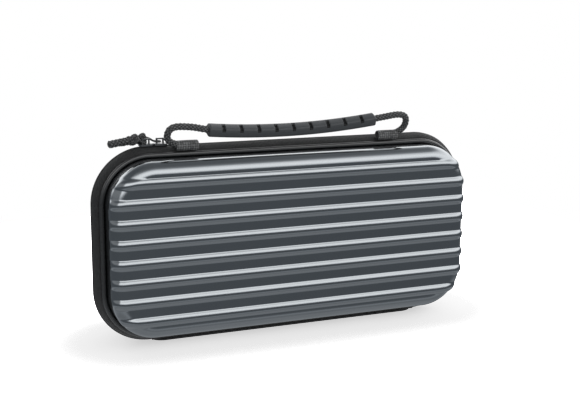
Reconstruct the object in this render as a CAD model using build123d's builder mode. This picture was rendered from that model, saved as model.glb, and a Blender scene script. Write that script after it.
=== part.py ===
from build123d import *
import os
from math import asin, cos, degrees, radians, sin, sqrt, tan

# Portable game console case: a ribbed hard-shell zip case that stands on its hinge edge.
# X runs along the long side, Y from front to back and Z up. The origin is on the floor,
# under the middle of the zip plane. The lid is the front half, at negative Y.

os.makedirs("parts", exist_ok=True)

# Outline of the case at the zip line
CASE_WIDTH = 272.0
CASE_HEIGHT = 131.0
CASE_CORNER = 37.0
CASE_DEPTH = 54.0  # from the flat field of one shell to that of the other

# Moulded shells and their raised beads
RIM_STEP = 6.5  # from the shell's wall out to the zip line
SHELL_WALL = 2.5
SHELL_DRAFT = 2.0  # degrees
FRONT_EDGE = 8.5  # radius from the side walls to the flat field
BEAD_COUNT = 8
BEAD_MARGIN = 13.5  # from the shell's edge to the middle of the outermost bead
BEAD_WIDTH = 6.5
BEAD_HEIGHT = 1.2
BEAD_START = 14.5  # from the zip plane to the place where the beads run out

# Domed zip rim, piping, zip coils and hinge strip
RIM_HALF = 7.0  # from the zip plane to the rim's outer flange face
RIM_SHOULDER = 3.7  # height of the dome's outer edge over the shell's wall
RIM_WALL = 2.0
PIPING_RADIUS = 1.5
ZIP_GAP = 0.9
COIL_WIDTH = 1.5
COIL_HEIGHT = 1.6
SPINE_WIDTH = 16.6
SPINE_THICK = 1.2
SEAM = 0.1  # clearance between sewn or glued faces

# Lining, adaptor tray and console strap
LINING_WALL = 1.0
TRAY_MARGIN = 2.0
TRAY_DEPTH = 14.0
BAY_WIDTH = 209.0
BAY_HEIGHT = 92.0
BAY_DEPTH = 10.0
BAY_CORNER = 18.0
FINGER_NOTCH = 14.0  # radius of the notches that let a finger under the console
STICK_WELL_RADIUS = 12.0
STICK_WELL_DEPTH = 2.0
STICK_WELL_X = 82.0
STICK_WELL_Z = 20.0
STRAP_WIDTH = 38.0
STRAP_THICK = 1.3
STRAP_LEG = 9.0
STRAP_OVERLAP = 16.0
LOOP_STRAP_REACH = 72.0

# Lid pocket with its hem and the pleated pad
POCKET_DROP = 2.0  # from the lining's foot down to the pocket panel
POCKET_HEIGHT = 66.0
POCKET_THICK = 0.8
HEM_HEIGHT = 7.0
HEM_THICK = 1.8
PAD_WIDTH = 150.0
PAD_HEIGHT = 50.0
PAD_CORNER = 16.0
PAD_THICK = 2.6
PAD_RAISE = 6.0  # from the lining's inner wall at the hinge up to the pad
PLEAT_COUNT = 6
PLEAT_HEIGHT = 2.0
PLEAT_WIDTH = 14.0

# Rope handle, its moulded grip and its two sewn tabs
ROPE_DIAMETER = 4.6
HANDLE_OUT = 7.4  # from the zip plane forward to the rope's feet
HANDLE_LEAN = 25.0  # degrees forward of upright
ROPE_FOOT = 65.0  # from the middle to the rope's sewn-in ends
ROPE_LOOP = 85.2  # from the middle to the outer bend of the rope
ROPE_BEND = 7.2  # radius of the rope's bends
GRIP_LENGTH = 121.0
GRIP_END_RISE = 14.0  # from the rope's feet up to the ends of the grip
GRIP_SAG = 4.0
GRIP_DEPTH = 9.5
GRIP_HEIGHT = 7.8
GRIP_ROUND = 2.4
SLOT_COUNT = 9
SLOT_PITCH = 12.6
SLOT_WIDTH = 1.9
SLOT_DEPTH = 1.0
SLOT_SLANT = 28.0  # degrees
TAB_LENGTH = 15.0
TAB_WEBBING = 1.0
RUN_CLEARANCE = 0.3  # round the rope's feet in their tabs

# Zip sliders and knotted cord pulls
SLIDER_LENGTH = 9.0
SLIDER_WIDTH = 6.4
SLIDER_PLATE = 1.2
SLIDER_GAP = 0.3
SLIDER_WEB = 0.4
SLIDER_SPACING = 9.5
BAIL_LENGTH = 5.2
BAIL_HEIGHT = 3.6
BAIL_THICK = 1.4
BAIL_BAR = 0.9
STRING_DIAMETER = 1.3
STRING_SPREAD = 3.4  # between the two strands where they leave the bail
STRING_SPREAD_AT_KNOT = 1.6
STRING_SINK = 1.5  # length of the strands inside the knot
KNOT_LENGTH = 8.0
KNOT_RADIUS = 3.3
TAIL_RADIUS = 2.6
TAIL_DROOP = 6.0  # degrees
LEFT_PULL = (4.6, -0.5, 5.4, 13.0)  # string reach, side offset, knot's rise over the rim, tail length
RIGHT_PULL = (8.0, 6.4, 4.8, 11.0)

# Sizes that follow from the driving ones
Z_MID = CASE_HEIGHT / 2
HALF_DEPTH = CASE_DEPTH / 2
SHELL_WIDTH = CASE_WIDTH - 2 * RIM_STEP
SHELL_HEIGHT = CASE_HEIGHT - 2 * RIM_STEP
SHELL_CORNER = CASE_CORNER - RIM_STEP
SHELL_TOP = Z_MID + SHELL_HEIGHT / 2
SHELL_FOOT = RIM_HALF + SEAM
LINING_INSET = SHELL_WALL + SEAM
BAY_INSET = LINING_INSET + LINING_WALL
DOME_FALL = RIM_STEP - RIM_SHOULDER
DOME_RADIUS = (RIM_HALF**2 + DOME_FALL**2) / (2 * DOME_FALL)
DOME_CENTRE = CASE_HEIGHT - DOME_RADIUS
CORNER_X = CASE_WIDTH / 2 - CASE_CORNER


def dome_height(out, radius):
    """Height over the shell's wall of a dome of this radius, at a distance out from the zip plane."""
    return RIM_STEP - DOME_RADIUS + sqrt(radius**2 - out**2)


def wall_inset(inset, out):
    """Inset of a drafted wall from the shell's outline at a distance out from the zip plane."""
    return inset + (out - SHELL_FOOT) * tan(radians(SHELL_DRAFT))


def shell_block(inset):
    """Return the drafted, round-edged block of a shell half, inset from the outer skin."""
    with BuildPart() as block:
        with BuildSketch(Plane.XZ.offset(SHELL_FOOT)):
            with Locations((0, Z_MID)):
                RectangleRounded(SHELL_WIDTH - 2 * inset, SHELL_HEIGHT - 2 * inset, SHELL_CORNER - inset)
        extrude(amount=HALF_DEPTH - inset - SHELL_FOOT, taper=SHELL_DRAFT)
        fillet(block.faces().sort_by(Axis.Y)[0].edges(), FRONT_EDGE - inset)
    return block.part


def half_outline(close_at_hinge):
    """Draw the right half of the shell outline, from the top middle round to the hinge side."""
    right = SHELL_WIDTH / 2
    low = Z_MID - SHELL_HEIGHT / 2
    with BuildLine(Plane.XZ) as outline:
        Line((0, SHELL_TOP), (CORNER_X, SHELL_TOP))
        RadiusArc((CORNER_X, SHELL_TOP), (right, SHELL_TOP - SHELL_CORNER), SHELL_CORNER)
        Line((right, SHELL_TOP - SHELL_CORNER), (right, low + SHELL_CORNER))
        RadiusArc((right, low + SHELL_CORNER), (CORNER_X, low), SHELL_CORNER)
        if close_at_hinge:
            Line((CORNER_X, low), (0, low))
    return outline.wires()[0]


# Sections of the rim are drawn with their x outward from the shell's wall and their y forward
RIM_SECTION = Plane(origin=(0, 0, SHELL_TOP), x_dir=(0, 0, 1), z_dir=(1, 0, 0))
HINGE_SECTION = Plane(origin=(0, 0, Z_MID - SHELL_HEIGHT / 2), x_dir=(0, 0, -1), z_dir=(-1, 0, 0))
ZIP_EDGE = ZIP_GAP / 2
INNER_DOME = DOME_RADIUS - RIM_WALL
FLANGE_IN = RIM_HALF - RIM_WALL
ZIP_OUTLINE = half_outline(close_at_hinge=False)
FULL_OUTLINE = half_outline(close_at_hinge=True)

# Shells: a drafted tray with round beads on its outside, and its mirror image behind. Each bead's
# section follows the wall, the round edge and the field, and dives under the skin at both ends.
BEAD_CIRCLE = (BEAD_WIDTH**2 / 4 + BEAD_HEIGHT**2) / (2 * BEAD_HEIGHT)
BEAD_ROOT = SHELL_WALL - SEAM
BEAD_ROOT_HALF = sqrt(BEAD_CIRCLE**2 - (BEAD_CIRCLE - BEAD_HEIGHT - BEAD_ROOT) ** 2)
BEAD_PITCH = (SHELL_HEIGHT - 2 * BEAD_MARGIN) / (BEAD_COUNT - 1)
BEAD_LEVELS = [Z_MID + BEAD_PITCH * (i - (BEAD_COUNT - 1) / 2) for i in range(BEAD_COUNT)]

with BuildPart() as lid_beads:
    for level in BEAD_LEVELS:
        into_corner = max(abs(level - Z_MID) + BEAD_WIDTH / 4 - (SHELL_HEIGHT / 2 - SHELL_CORNER), 0)
        corner_reach = sqrt(SHELL_CORNER**2 - into_corner**2)
        half_width = CORNER_X + corner_reach - wall_inset(0, HALF_DEPTH - FRONT_EDGE)
        bend = FRONT_EDGE * (1 + SHELL_CORNER / corner_reach) / 2
        with BuildLine(Plane.XY.offset(level)) as bead_path:
            FilletPolyline(
                (half_width - BEAD_HEIGHT - SEAM, -BEAD_START),
                (half_width, -HALF_DEPTH),
                (0, -HALF_DEPTH),
                radius=bend,
            )
        bead_start = Plane(origin=bead_path.line @ 0, x_dir=(0, 0, -1), z_dir=bead_path.line % 0)
        with BuildSketch(bead_start):
            with BuildLine():
                ThreePointArc((-BEAD_ROOT_HALF, -BEAD_ROOT), (0, BEAD_HEIGHT), (BEAD_ROOT_HALF, -BEAD_ROOT))
                Line((BEAD_ROOT_HALF, -BEAD_ROOT), (-BEAD_ROOT_HALF, -BEAD_ROOT))
            make_face()
        sweep(path=bead_path.wires()[0])
    mirror(about=Plane.YZ)

with BuildPart() as lid_shell:
    add(shell_block(0))
    add(lid_beads.part)
    add(shell_block(SHELL_WALL), mode=Mode.SUBTRACT)

with BuildPart() as base_shell:
    mirror(lid_shell.part, about=Plane.XZ)

# Linings: a thin moulded skin inside each shell
with BuildPart() as lid_lining:
    add(shell_block(LINING_INSET))
    add(shell_block(BAY_INSET), mode=Mode.SUBTRACT)

with BuildPart() as base_lining:
    mirror(lid_lining.part, about=Plane.XZ)

# Zip rims: a domed band round three sides on a flange that carries the shell, flat at the hinge
with BuildPart() as lid_rim:
    with BuildSketch(RIM_SECTION):
        with BuildLine():
            top = (dome_height(ZIP_EDGE, DOME_RADIUS), ZIP_EDGE)
            shoulder = (RIM_SHOULDER, RIM_HALF)
            under = (dome_height(FLANGE_IN, INNER_DOME), FLANGE_IN)
            lip = (dome_height(ZIP_EDGE, INNER_DOME), ZIP_EDGE)
            RadiusArc(top, shoulder, -DOME_RADIUS)
            Polyline(shoulder, (-BAY_INSET, RIM_HALF), (-BAY_INSET, FLANGE_IN), under)
            RadiusArc(under, lip, INNER_DOME)
            Line(lip, top)
        make_face()
    sweep(path=ZIP_OUTLINE)
    with BuildSketch(HINGE_SECTION):
        hinge_face = RIM_STEP - SPINE_THICK - SEAM
        with BuildLine():
            Polyline(
                (hinge_face, ZIP_EDGE),
                (hinge_face, RIM_HALF),
                (-BAY_INSET, RIM_HALF),
                (-BAY_INSET, FLANGE_IN),
                (hinge_face - RIM_WALL, FLANGE_IN),
                (hinge_face - RIM_WALL, ZIP_EDGE),
                close=True,
            )
        make_face()
    extrude(amount=-CORNER_X)
    mirror(about=Plane.YZ)

with BuildPart() as base_rim:
    mirror(lid_rim.part, about=Plane.XZ)

# Piping: a round bead in the corner between each shell and its rim
with BuildPart() as lid_piping:
    with BuildSketch(RIM_SECTION):
        with Locations((PIPING_RADIUS + SEAM, RIM_HALF + SEAM + PIPING_RADIUS)):
            Circle(PIPING_RADIUS)
    sweep(path=FULL_OUTLINE)
    mirror(about=Plane.YZ)

with BuildPart() as base_piping:
    mirror(lid_piping.part, about=Plane.XZ)

# Zip coils: a bead along the inner edge of each tape
with BuildPart() as lid_zip_coil:
    coil_top = dome_height(ZIP_EDGE + COIL_WIDTH, INNER_DOME) - SEAM
    with BuildSketch(RIM_SECTION):
        with Locations((coil_top - COIL_HEIGHT / 2, ZIP_EDGE + COIL_WIDTH / 2)):
            Rectangle(COIL_HEIGHT, COIL_WIDTH)
    sweep(path=ZIP_OUTLINE)
    mirror(about=Plane.YZ)

with BuildPart() as base_zip_coil:
    mirror(lid_zip_coil.part, about=Plane.XZ)

# Hinge strip: the flat band along the bottom that joins the halves and that the case stands on
with BuildPart() as hinge_spine:
    with BuildSketch(Plane.XY):
        Rectangle(2 * (CORNER_X - SEAM), SPINE_WIDTH)
    extrude(amount=SPINE_THICK)

# Adaptor tray: a moulded insert with a bay for a smaller console, finger notches and two stick wells
with BuildPart() as inner_tray:
    tray_back = HALF_DEPTH - BAY_INSET - SEAM
    tray_front = tray_back - TRAY_DEPTH
    tray_block = shell_block(BAY_INSET + TRAY_MARGIN).mirror(Plane.XZ)
    add(tray_block.moved(Location((0, TRAY_MARGIN - SEAM, 0))))
    with BuildSketch(Plane.XZ.offset(-tray_front)):
        with Locations((0, Z_MID)):
            Rectangle(CASE_WIDTH, CASE_HEIGHT)
    extrude(amount=CASE_DEPTH, mode=Mode.SUBTRACT)
    with BuildSketch(Plane.XZ.offset(-tray_front)):
        with Locations((0, Z_MID)):
            RectangleRounded(BAY_WIDTH, BAY_HEIGHT, BAY_CORNER)
        with Locations((-BAY_WIDTH / 2, Z_MID), (BAY_WIDTH / 2, Z_MID)):
            Circle(FINGER_NOTCH)
    extrude(amount=-BAY_DEPTH, mode=Mode.SUBTRACT)
    with BuildSketch(Plane.XZ.offset(-tray_front - BAY_DEPTH)):
        with Locations((-STICK_WELL_X, Z_MID + STICK_WELL_Z), (STICK_WELL_X, Z_MID - STICK_WELL_Z)):
            Circle(STICK_WELL_RADIUS)
    extrude(amount=-STICK_WELL_DEPTH, mode=Mode.SUBTRACT)

# Console strap: a loop half from the hinge side and a hook half from the top, lapped over the tray
STRAP_BACK = tray_front - SEAM
LEG_END = STRAP_BACK + STRAP_LEG
LEG_INSET = RIM_STEP + wall_inset(BAY_INSET, LEG_END) + SEAM
STRAP_LOW = LEG_INSET
STRAP_HIGH = CASE_HEIGHT - LEG_INSET
LAP_START = STRAP_LOW + LOOP_STRAP_REACH - STRAP_OVERLAP
HOOK_BACK = STRAP_BACK - STRAP_THICK - SEAM

with BuildPart() as strap_loop:
    with BuildSketch(Plane.YZ):
        with BuildLine():
            Polyline(
                (LEG_END, STRAP_LOW),
                (STRAP_BACK - STRAP_THICK, STRAP_LOW),
                (STRAP_BACK - STRAP_THICK, STRAP_LOW + LOOP_STRAP_REACH),
                (STRAP_BACK, STRAP_LOW + LOOP_STRAP_REACH),
                (STRAP_BACK, STRAP_LOW + STRAP_THICK),
                (LEG_END, STRAP_LOW + STRAP_THICK),
                close=True,
            )
        make_face()
    extrude(amount=STRAP_WIDTH / 2, both=True)

with BuildPart() as strap_hook:
    with BuildSketch(Plane.YZ):
        with BuildLine():
            Polyline(
                (LEG_END, STRAP_HIGH),
                (HOOK_BACK - STRAP_THICK, STRAP_HIGH),
                (HOOK_BACK - STRAP_THICK, LAP_START),
                (HOOK_BACK, LAP_START),
                (HOOK_BACK, STRAP_HIGH - STRAP_THICK),
                (LEG_END, STRAP_HIGH - STRAP_THICK),
                close=True,
            )
        make_face()
    extrude(amount=STRAP_WIDTH / 2, both=True)

# Lid pocket: a fabric panel over the lower part of the lid, hemmed, with a pleated pad sewn on it
POCKET_FACE = SHELL_FOOT + POCKET_DROP
POCKET_INSET = wall_inset(BAY_INSET, POCKET_FACE + POCKET_THICK) + SEAM
POCKET_LOW = RIM_STEP + POCKET_INSET
POCKET_TOP = POCKET_LOW + POCKET_HEIGHT
PAD_BACK = POCKET_FACE - SEAM
PAD_LOW = POCKET_LOW + PAD_RAISE

with BuildPart() as lid_pocket:
    with BuildSketch(Plane.XZ.offset(POCKET_FACE)):
        with Locations((0, Z_MID)):
            RectangleRounded(
                SHELL_WIDTH - 2 * POCKET_INSET,
                SHELL_HEIGHT - 2 * POCKET_INSET,
                SHELL_CORNER - POCKET_INSET,
            )
        with Locations((0, POCKET_TOP + CASE_HEIGHT / 2)):
            Rectangle(CASE_WIDTH, CASE_HEIGHT, mode=Mode.SUBTRACT)
    extrude(amount=POCKET_THICK)

with BuildPart() as pocket_hem:
    hem_middle = POCKET_FACE + POCKET_THICK / 2 - HEM_THICK / 2
    with BuildSketch(Plane.XZ.offset(hem_middle)):
        with Locations((0, POCKET_TOP + SEAM + HEM_HEIGHT / 2)):
            Rectangle(SHELL_WIDTH - 2 * POCKET_INSET - 2 * SEAM, HEM_HEIGHT)
    extrude(amount=HEM_THICK)

with BuildPart() as lid_pad:
    with BuildSketch(Plane.XZ.offset(PAD_BACK - PAD_THICK)):
        with Locations((0, PAD_LOW + PAD_HEIGHT / 2)):
            RectangleRounded(PAD_WIDTH, PAD_HEIGHT, PAD_CORNER)
        with Locations((0, PAD_LOW + PAD_CORNER / 2)):
            Rectangle(PAD_WIDTH, PAD_CORNER)
    extrude(amount=PAD_THICK)
    pad_face = PAD_THICK - PAD_BACK
    first_pleat = -PLEAT_WIDTH * PLEAT_COUNT / 2
    with BuildSketch(Plane.XY.offset(PAD_LOW)):
        for i in range(PLEAT_COUNT):
            pleat = first_pleat + i * PLEAT_WIDTH
            with BuildLine():
                Polyline(
                    (pleat, pad_face - SEAM),
                    (pleat + PLEAT_WIDTH, pad_face - SEAM),
                    (pleat + PLEAT_WIDTH, pad_face + PLEAT_HEIGHT),
                    (pleat, pad_face),
                    close=True,
                )
            make_face()
    extrude(amount=PAD_HEIGHT)

# Rope handle: the rope runs in two sewn tabs and through the grip
ROPE_RADIUS = ROPE_DIAMETER / 2
ROPE_SEAT = DOME_RADIUS + RUN_CLEARANCE + ROPE_RADIUS
HANDLE_Z = DOME_CENTRE + sqrt(ROPE_SEAT**2 - HANDLE_OUT**2)
LEAN = radians(HANDLE_LEAN)
HANDLE_PLANE = Plane(
    origin=(0, -HANDLE_OUT, HANDLE_Z),
    x_dir=(1, 0, 0),
    z_dir=(0, -cos(LEAN), -sin(LEAN)),
)
GRIP_END = GRIP_LENGTH / 2
GRIP_CURVE = (GRIP_END**2 + GRIP_SAG**2) / (2 * GRIP_SAG)
GRIP_LOW = GRIP_END_RISE - GRIP_SAG
ROPE_SHOULDER = GRIP_END_RISE + (ROPE_LOOP - GRIP_END) * tan(asin(GRIP_END / GRIP_CURVE))

with BuildPart() as handle_rope:
    with BuildLine(HANDLE_PLANE) as rope_path:
        FilletPolyline(
            (ROPE_FOOT, 0),
            (ROPE_LOOP, 0),
            (ROPE_LOOP, ROPE_SHOULDER),
            (GRIP_END, GRIP_END_RISE),
            radius=ROPE_BEND,
        )
        RadiusArc((GRIP_END, GRIP_END_RISE), (0, GRIP_LOW), GRIP_CURVE)
    with BuildSketch(Plane(origin=HANDLE_PLANE.from_local_coords((ROPE_FOOT, 0, 0)), z_dir=(1, 0, 0))):
        Circle(ROPE_RADIUS)
    sweep(path=rope_path.wires()[0])
    mirror(about=Plane.YZ)

with BuildPart() as handle_grip:
    with BuildLine(HANDLE_PLANE) as grip_path:
        RadiusArc((GRIP_END, GRIP_END_RISE), (-GRIP_END, GRIP_END_RISE), GRIP_CURVE)
    grip_start = Plane(origin=grip_path.line @ 0, x_dir=HANDLE_PLANE.z_dir, z_dir=grip_path.line % 0)
    with BuildSketch(grip_start):
        RectangleRounded(GRIP_DEPTH, GRIP_HEIGHT, GRIP_ROUND)
        Circle(ROPE_RADIUS + SEAM, mode=Mode.SUBTRACT)
    sweep(path=grip_path.wires()[0])
    for i in range(SLOT_COUNT):
        along = (i - (SLOT_COUNT - 1) / 2) * SLOT_PITCH
        tilt = degrees(asin(along / GRIP_CURVE))
        rise = GRIP_LOW + GRIP_CURVE - sqrt(GRIP_CURVE**2 - along**2)
        slot_place = HANDLE_PLANE * Pos(along, rise, 0) * Rot(0, 0, tilt)
        slot_place = slot_place * Pos(0, GRIP_HEIGHT / 2, 0) * Rot(0, SLOT_SLANT, 0)
        with Locations(slot_place):
            Box(SLOT_WIDTH, 2 * SLOT_DEPTH, 2 * GRIP_DEPTH, mode=Mode.SUBTRACT)

with BuildPart() as handle_tab_right:
    with BuildSketch(Plane.YZ.offset(ROPE_FOOT - TAB_WEBBING)):
        with Locations((-HANDLE_OUT, HANDLE_Z)):
            Circle(ROPE_RADIUS + RUN_CLEARANCE + TAB_WEBBING)
            Circle(ROPE_RADIUS + RUN_CLEARANCE, mode=Mode.SUBTRACT)
        with Locations((0, DOME_CENTRE)):
            Circle(DOME_RADIUS + SEAM, mode=Mode.SUBTRACT)
    extrude(amount=TAB_LENGTH)

with BuildPart() as handle_tab_left:
    mirror(handle_tab_right.part, about=Plane.YZ)

# Zip sliders: an outer plate with a bail, a web through the zip gap and an inner plate behind it
SLIDER_TOP = CASE_HEIGHT + SLIDER_GAP + SLIDER_PLATE
COIL_LOW = SHELL_TOP + coil_top - COIL_HEIGHT
BAIL_HOLE = SLIDER_TOP + (BAIL_HEIGHT - BAIL_BAR) / 2


def slider(centre_x):
    """Return one slider with its middle at centre_x on the top run of the zip."""
    with BuildPart() as body:
        with Locations((centre_x, 0, SLIDER_TOP - SLIDER_PLATE / 2)):
            Box(SLIDER_LENGTH, SLIDER_WIDTH, SLIDER_PLATE)
        fillet(body.edges().filter_by(Axis.Z), SLIDER_WIDTH / 4)
        web_low = COIL_LOW - SLIDER_GAP - SLIDER_PLATE
        web_high = SLIDER_TOP - SLIDER_PLATE
        with Locations((centre_x, 0, (web_low + web_high) / 2)):
            Box(SLIDER_LENGTH / 2, SLIDER_WEB, web_high - web_low)
        with Locations((centre_x, SLIDER_WIDTH / 4 - SLIDER_WEB / 4, web_low + SLIDER_PLATE / 2)):
            Box(SLIDER_LENGTH / 2, SLIDER_WIDTH / 2 + SLIDER_WEB / 2, SLIDER_PLATE)
        with BuildSketch(Plane.XZ.offset(-BAIL_THICK / 2)):
            with Locations((centre_x, SLIDER_TOP)):
                Rectangle(BAIL_LENGTH, 2 * BAIL_HEIGHT)
                Rectangle(BAIL_LENGTH - 2 * BAIL_BAR, 2 * (BAIL_HEIGHT - BAIL_BAR), mode=Mode.SUBTRACT)
            with Locations((centre_x, SLIDER_TOP - BAIL_HEIGHT / 2 - SLIDER_PLATE / 2)):
                Rectangle(2 * BAIL_LENGTH, BAIL_HEIGHT, mode=Mode.SUBTRACT)
        extrude(amount=BAIL_THICK)
    return body.part


def pull_string(centre_x, pull):
    """Return the cord loop that passes through a slider's bail and runs into its knot."""
    reach, aside, rise, _ = pull
    height = CASE_HEIGHT + rise
    bend_x = centre_x - BAIL_LENGTH / 2 + BAIL_BAR / 3
    half = STRING_SPREAD / 2
    end_x = centre_x - reach - STRING_SINK
    with BuildPart() as strand:
        with BuildLine() as path:
            Spline(
                (end_x, aside + STRING_SPREAD_AT_KNOT / 2, height),
                (bend_x, half, BAIL_HOLE),
                tangents=((1, 0, 0), (1, 0, 0)),
            )
            ThreePointArc((bend_x, half, BAIL_HOLE), (bend_x + half, 0, BAIL_HOLE), (bend_x, -half, BAIL_HOLE))
            Spline(
                (bend_x, -half, BAIL_HOLE),
                (end_x, aside - STRING_SPREAD_AT_KNOT / 2, height),
                tangents=((-1, 0, 0), (-1, 0, 0)),
            )
        with BuildSketch(Plane(origin=path.line @ 0, z_dir=(1, 0, 0))):
            Circle(STRING_DIAMETER / 2)
        sweep(path=path.wires()[0])
    return strand.part


def pull_cord(centre_x, pull):
    """Return the knot of a pull with its drooping tail."""
    reach, aside, rise, tail = pull
    start = Location((centre_x - reach, aside, CASE_HEIGHT + rise), (0, 180 - TAIL_DROOP, 0))
    with BuildPart() as cord:
        with BuildSketch(Plane.XY):
            with BuildLine():
                shoulder = KNOT_RADIUS - TAIL_RADIUS
                Polyline(
                    (0, 0),
                    (0, TAIL_RADIUS),
                    (2 * shoulder, KNOT_RADIUS),
                    (KNOT_LENGTH - 2 * shoulder, KNOT_RADIUS),
                    (KNOT_LENGTH, TAIL_RADIUS),
                    (KNOT_LENGTH + tail - TAIL_RADIUS, TAIL_RADIUS),
                )
                RadiusArc(
                    (KNOT_LENGTH + tail - TAIL_RADIUS, TAIL_RADIUS),
                    (KNOT_LENGTH + tail, 0),
                    TAIL_RADIUS,
                )
                Line((KNOT_LENGTH + tail, 0), (0, 0))
            make_face()
        revolve(axis=Axis.X)
    return cord.part.moved(start)


LEFT_SLIDER = -CORNER_X
RIGHT_SLIDER = LEFT_SLIDER + SLIDER_SPACING

with BuildPart() as slider_left:
    add(slider(LEFT_SLIDER))

with BuildPart() as slider_right:
    add(slider(RIGHT_SLIDER))

with BuildPart() as pull_string_left:
    add(pull_string(LEFT_SLIDER, LEFT_PULL))

with BuildPart() as pull_string_right:
    add(pull_string(RIGHT_SLIDER, RIGHT_PULL))

with BuildPart() as pull_cord_left:
    add(pull_cord(LEFT_SLIDER, LEFT_PULL))

with BuildPart() as pull_cord_right:
    add(pull_cord(RIGHT_SLIDER, RIGHT_PULL))

base_shell.part.label = "base_shell"
base_rim.part.label = "base_rim"
base_piping.part.label = "base_piping"
base_zip_coil.part.label = "base_zip_coil"
base_lining.part.label = "base_lining"
inner_tray.part.label = "inner_tray"
strap_loop.part.label = "strap_loop"
strap_hook.part.label = "strap_hook"
hinge_spine.part.label = "hinge_spine"
lid_shell.part.label = "lid_shell"
lid_rim.part.label = "lid_rim"
lid_piping.part.label = "lid_piping"
lid_zip_coil.part.label = "lid_zip_coil"
lid_lining.part.label = "lid_lining"
lid_pocket.part.label = "lid_pocket"
pocket_hem.part.label = "pocket_hem"
lid_pad.part.label = "lid_pad"
handle_tab_left.part.label = "handle_tab_left"
handle_tab_right.part.label = "handle_tab_right"
handle_rope.part.label = "handle_rope"
handle_grip.part.label = "handle_grip"
slider_left.part.label = "slider_left"
slider_right.part.label = "slider_right"
pull_string_left.part.label = "pull_string_left"
pull_cord_left.part.label = "pull_cord_left"
pull_string_right.part.label = "pull_string_right"
pull_cord_right.part.label = "pull_cord_right"

export_step(base_shell.part, "parts/base_shell.step")
export_step(base_rim.part, "parts/base_rim.step")
export_step(base_piping.part, "parts/base_piping.step")
export_step(base_zip_coil.part, "parts/base_zip_coil.step")
export_step(base_lining.part, "parts/base_lining.step")
export_step(inner_tray.part, "parts/inner_tray.step")
export_step(strap_loop.part, "parts/strap_loop.step")
export_step(strap_hook.part, "parts/strap_hook.step")
export_step(hinge_spine.part, "parts/hinge_spine.step")
export_step(lid_shell.part, "parts/lid_shell.step")
export_step(lid_rim.part, "parts/lid_rim.step")
export_step(lid_piping.part, "parts/lid_piping.step")
export_step(lid_zip_coil.part, "parts/lid_zip_coil.step")
export_step(lid_lining.part, "parts/lid_lining.step")
export_step(lid_pocket.part, "parts/lid_pocket.step")
export_step(pocket_hem.part, "parts/pocket_hem.step")
export_step(lid_pad.part, "parts/lid_pad.step")
export_step(handle_tab_left.part, "parts/handle_tab_left.step")
export_step(handle_tab_right.part, "parts/handle_tab_right.step")
export_step(handle_rope.part, "parts/handle_rope.step")
export_step(handle_grip.part, "parts/handle_grip.step")
export_step(slider_left.part, "parts/slider_left.step")
export_step(slider_right.part, "parts/slider_right.step")
export_step(pull_string_left.part, "parts/pull_string_left.step")
export_step(pull_cord_left.part, "parts/pull_cord_left.step")
export_step(pull_string_right.part, "parts/pull_string_right.step")
export_step(pull_cord_right.part, "parts/pull_cord_right.step")
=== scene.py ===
"""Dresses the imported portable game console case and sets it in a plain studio.

The lengths are in millimetres, in the part's own frame, until a mesh is made of them.
"""
import logging
from dataclasses import dataclass
from enum import Enum
from math import asin, cos, pi, radians, sin, sqrt, tan

import bmesh
import bpy
import numpy as np
from mathutils import Matrix, Vector


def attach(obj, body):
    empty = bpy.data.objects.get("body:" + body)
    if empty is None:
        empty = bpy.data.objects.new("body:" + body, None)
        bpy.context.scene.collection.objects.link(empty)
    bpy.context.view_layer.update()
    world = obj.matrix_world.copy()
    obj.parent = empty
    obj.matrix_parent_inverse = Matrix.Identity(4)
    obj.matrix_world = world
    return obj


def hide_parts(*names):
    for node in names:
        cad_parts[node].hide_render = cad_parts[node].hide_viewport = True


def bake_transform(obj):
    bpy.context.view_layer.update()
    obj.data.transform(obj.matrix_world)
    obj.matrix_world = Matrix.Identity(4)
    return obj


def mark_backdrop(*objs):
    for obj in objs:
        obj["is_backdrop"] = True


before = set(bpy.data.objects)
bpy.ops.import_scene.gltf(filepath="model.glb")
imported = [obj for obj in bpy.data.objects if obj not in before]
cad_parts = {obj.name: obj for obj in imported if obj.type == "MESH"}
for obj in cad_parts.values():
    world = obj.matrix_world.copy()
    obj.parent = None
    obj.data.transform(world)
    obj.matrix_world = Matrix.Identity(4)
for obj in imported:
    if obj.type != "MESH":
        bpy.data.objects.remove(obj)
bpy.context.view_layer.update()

LOG = logging.getLogger("console_case")
MM = 0.001
UV_CELL = 10.0  # millimetres of surface to one unit of UV


class Half(Enum):
    """The two halves of the case, with the sign of Y on their side of the zip plane."""

    LID = -1
    BASE = 1

    @property
    def body(self) -> str:
        """Name of the body that the half rides on."""
        return self.name.lower()


class Run(Enum):
    """How far a band goes round the outline of the case."""

    OVER_TOP = "from one foot corner over the top to the other"
    ALL_ROUND = "round all four sides"


class Weave(Enum):
    """Cloth bindings, with the number of threads after which the binding repeats."""

    PLAIN = 2
    TWILL = 4


# Meshes


@dataclass
class Patch:
    """A grid of points with its own UV grid; a wrapped way has its last line joined to its first.

    Height is the relief's share at each point, 1 on crowns and 0 in valleys and slots; the braid and grip
    finishes paint shade where it is low.
    """

    points: np.ndarray
    uv: np.ndarray
    wrap_u: bool = False
    wrap_v: bool = False
    height: np.ndarray | None = None


def uv_grid(u: np.ndarray, v: np.ndarray) -> np.ndarray:
    """UV of every grid point from its two lengths.

    Args:
        u: lengths along the first way, in millimetres.
        v: lengths along the second way, in millimetres.

    Returns:
        Array of shape (len(u), len(v), 2).
    """
    return np.stack(np.meshgrid(u, v, indexing="ij"), axis=-1)


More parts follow.
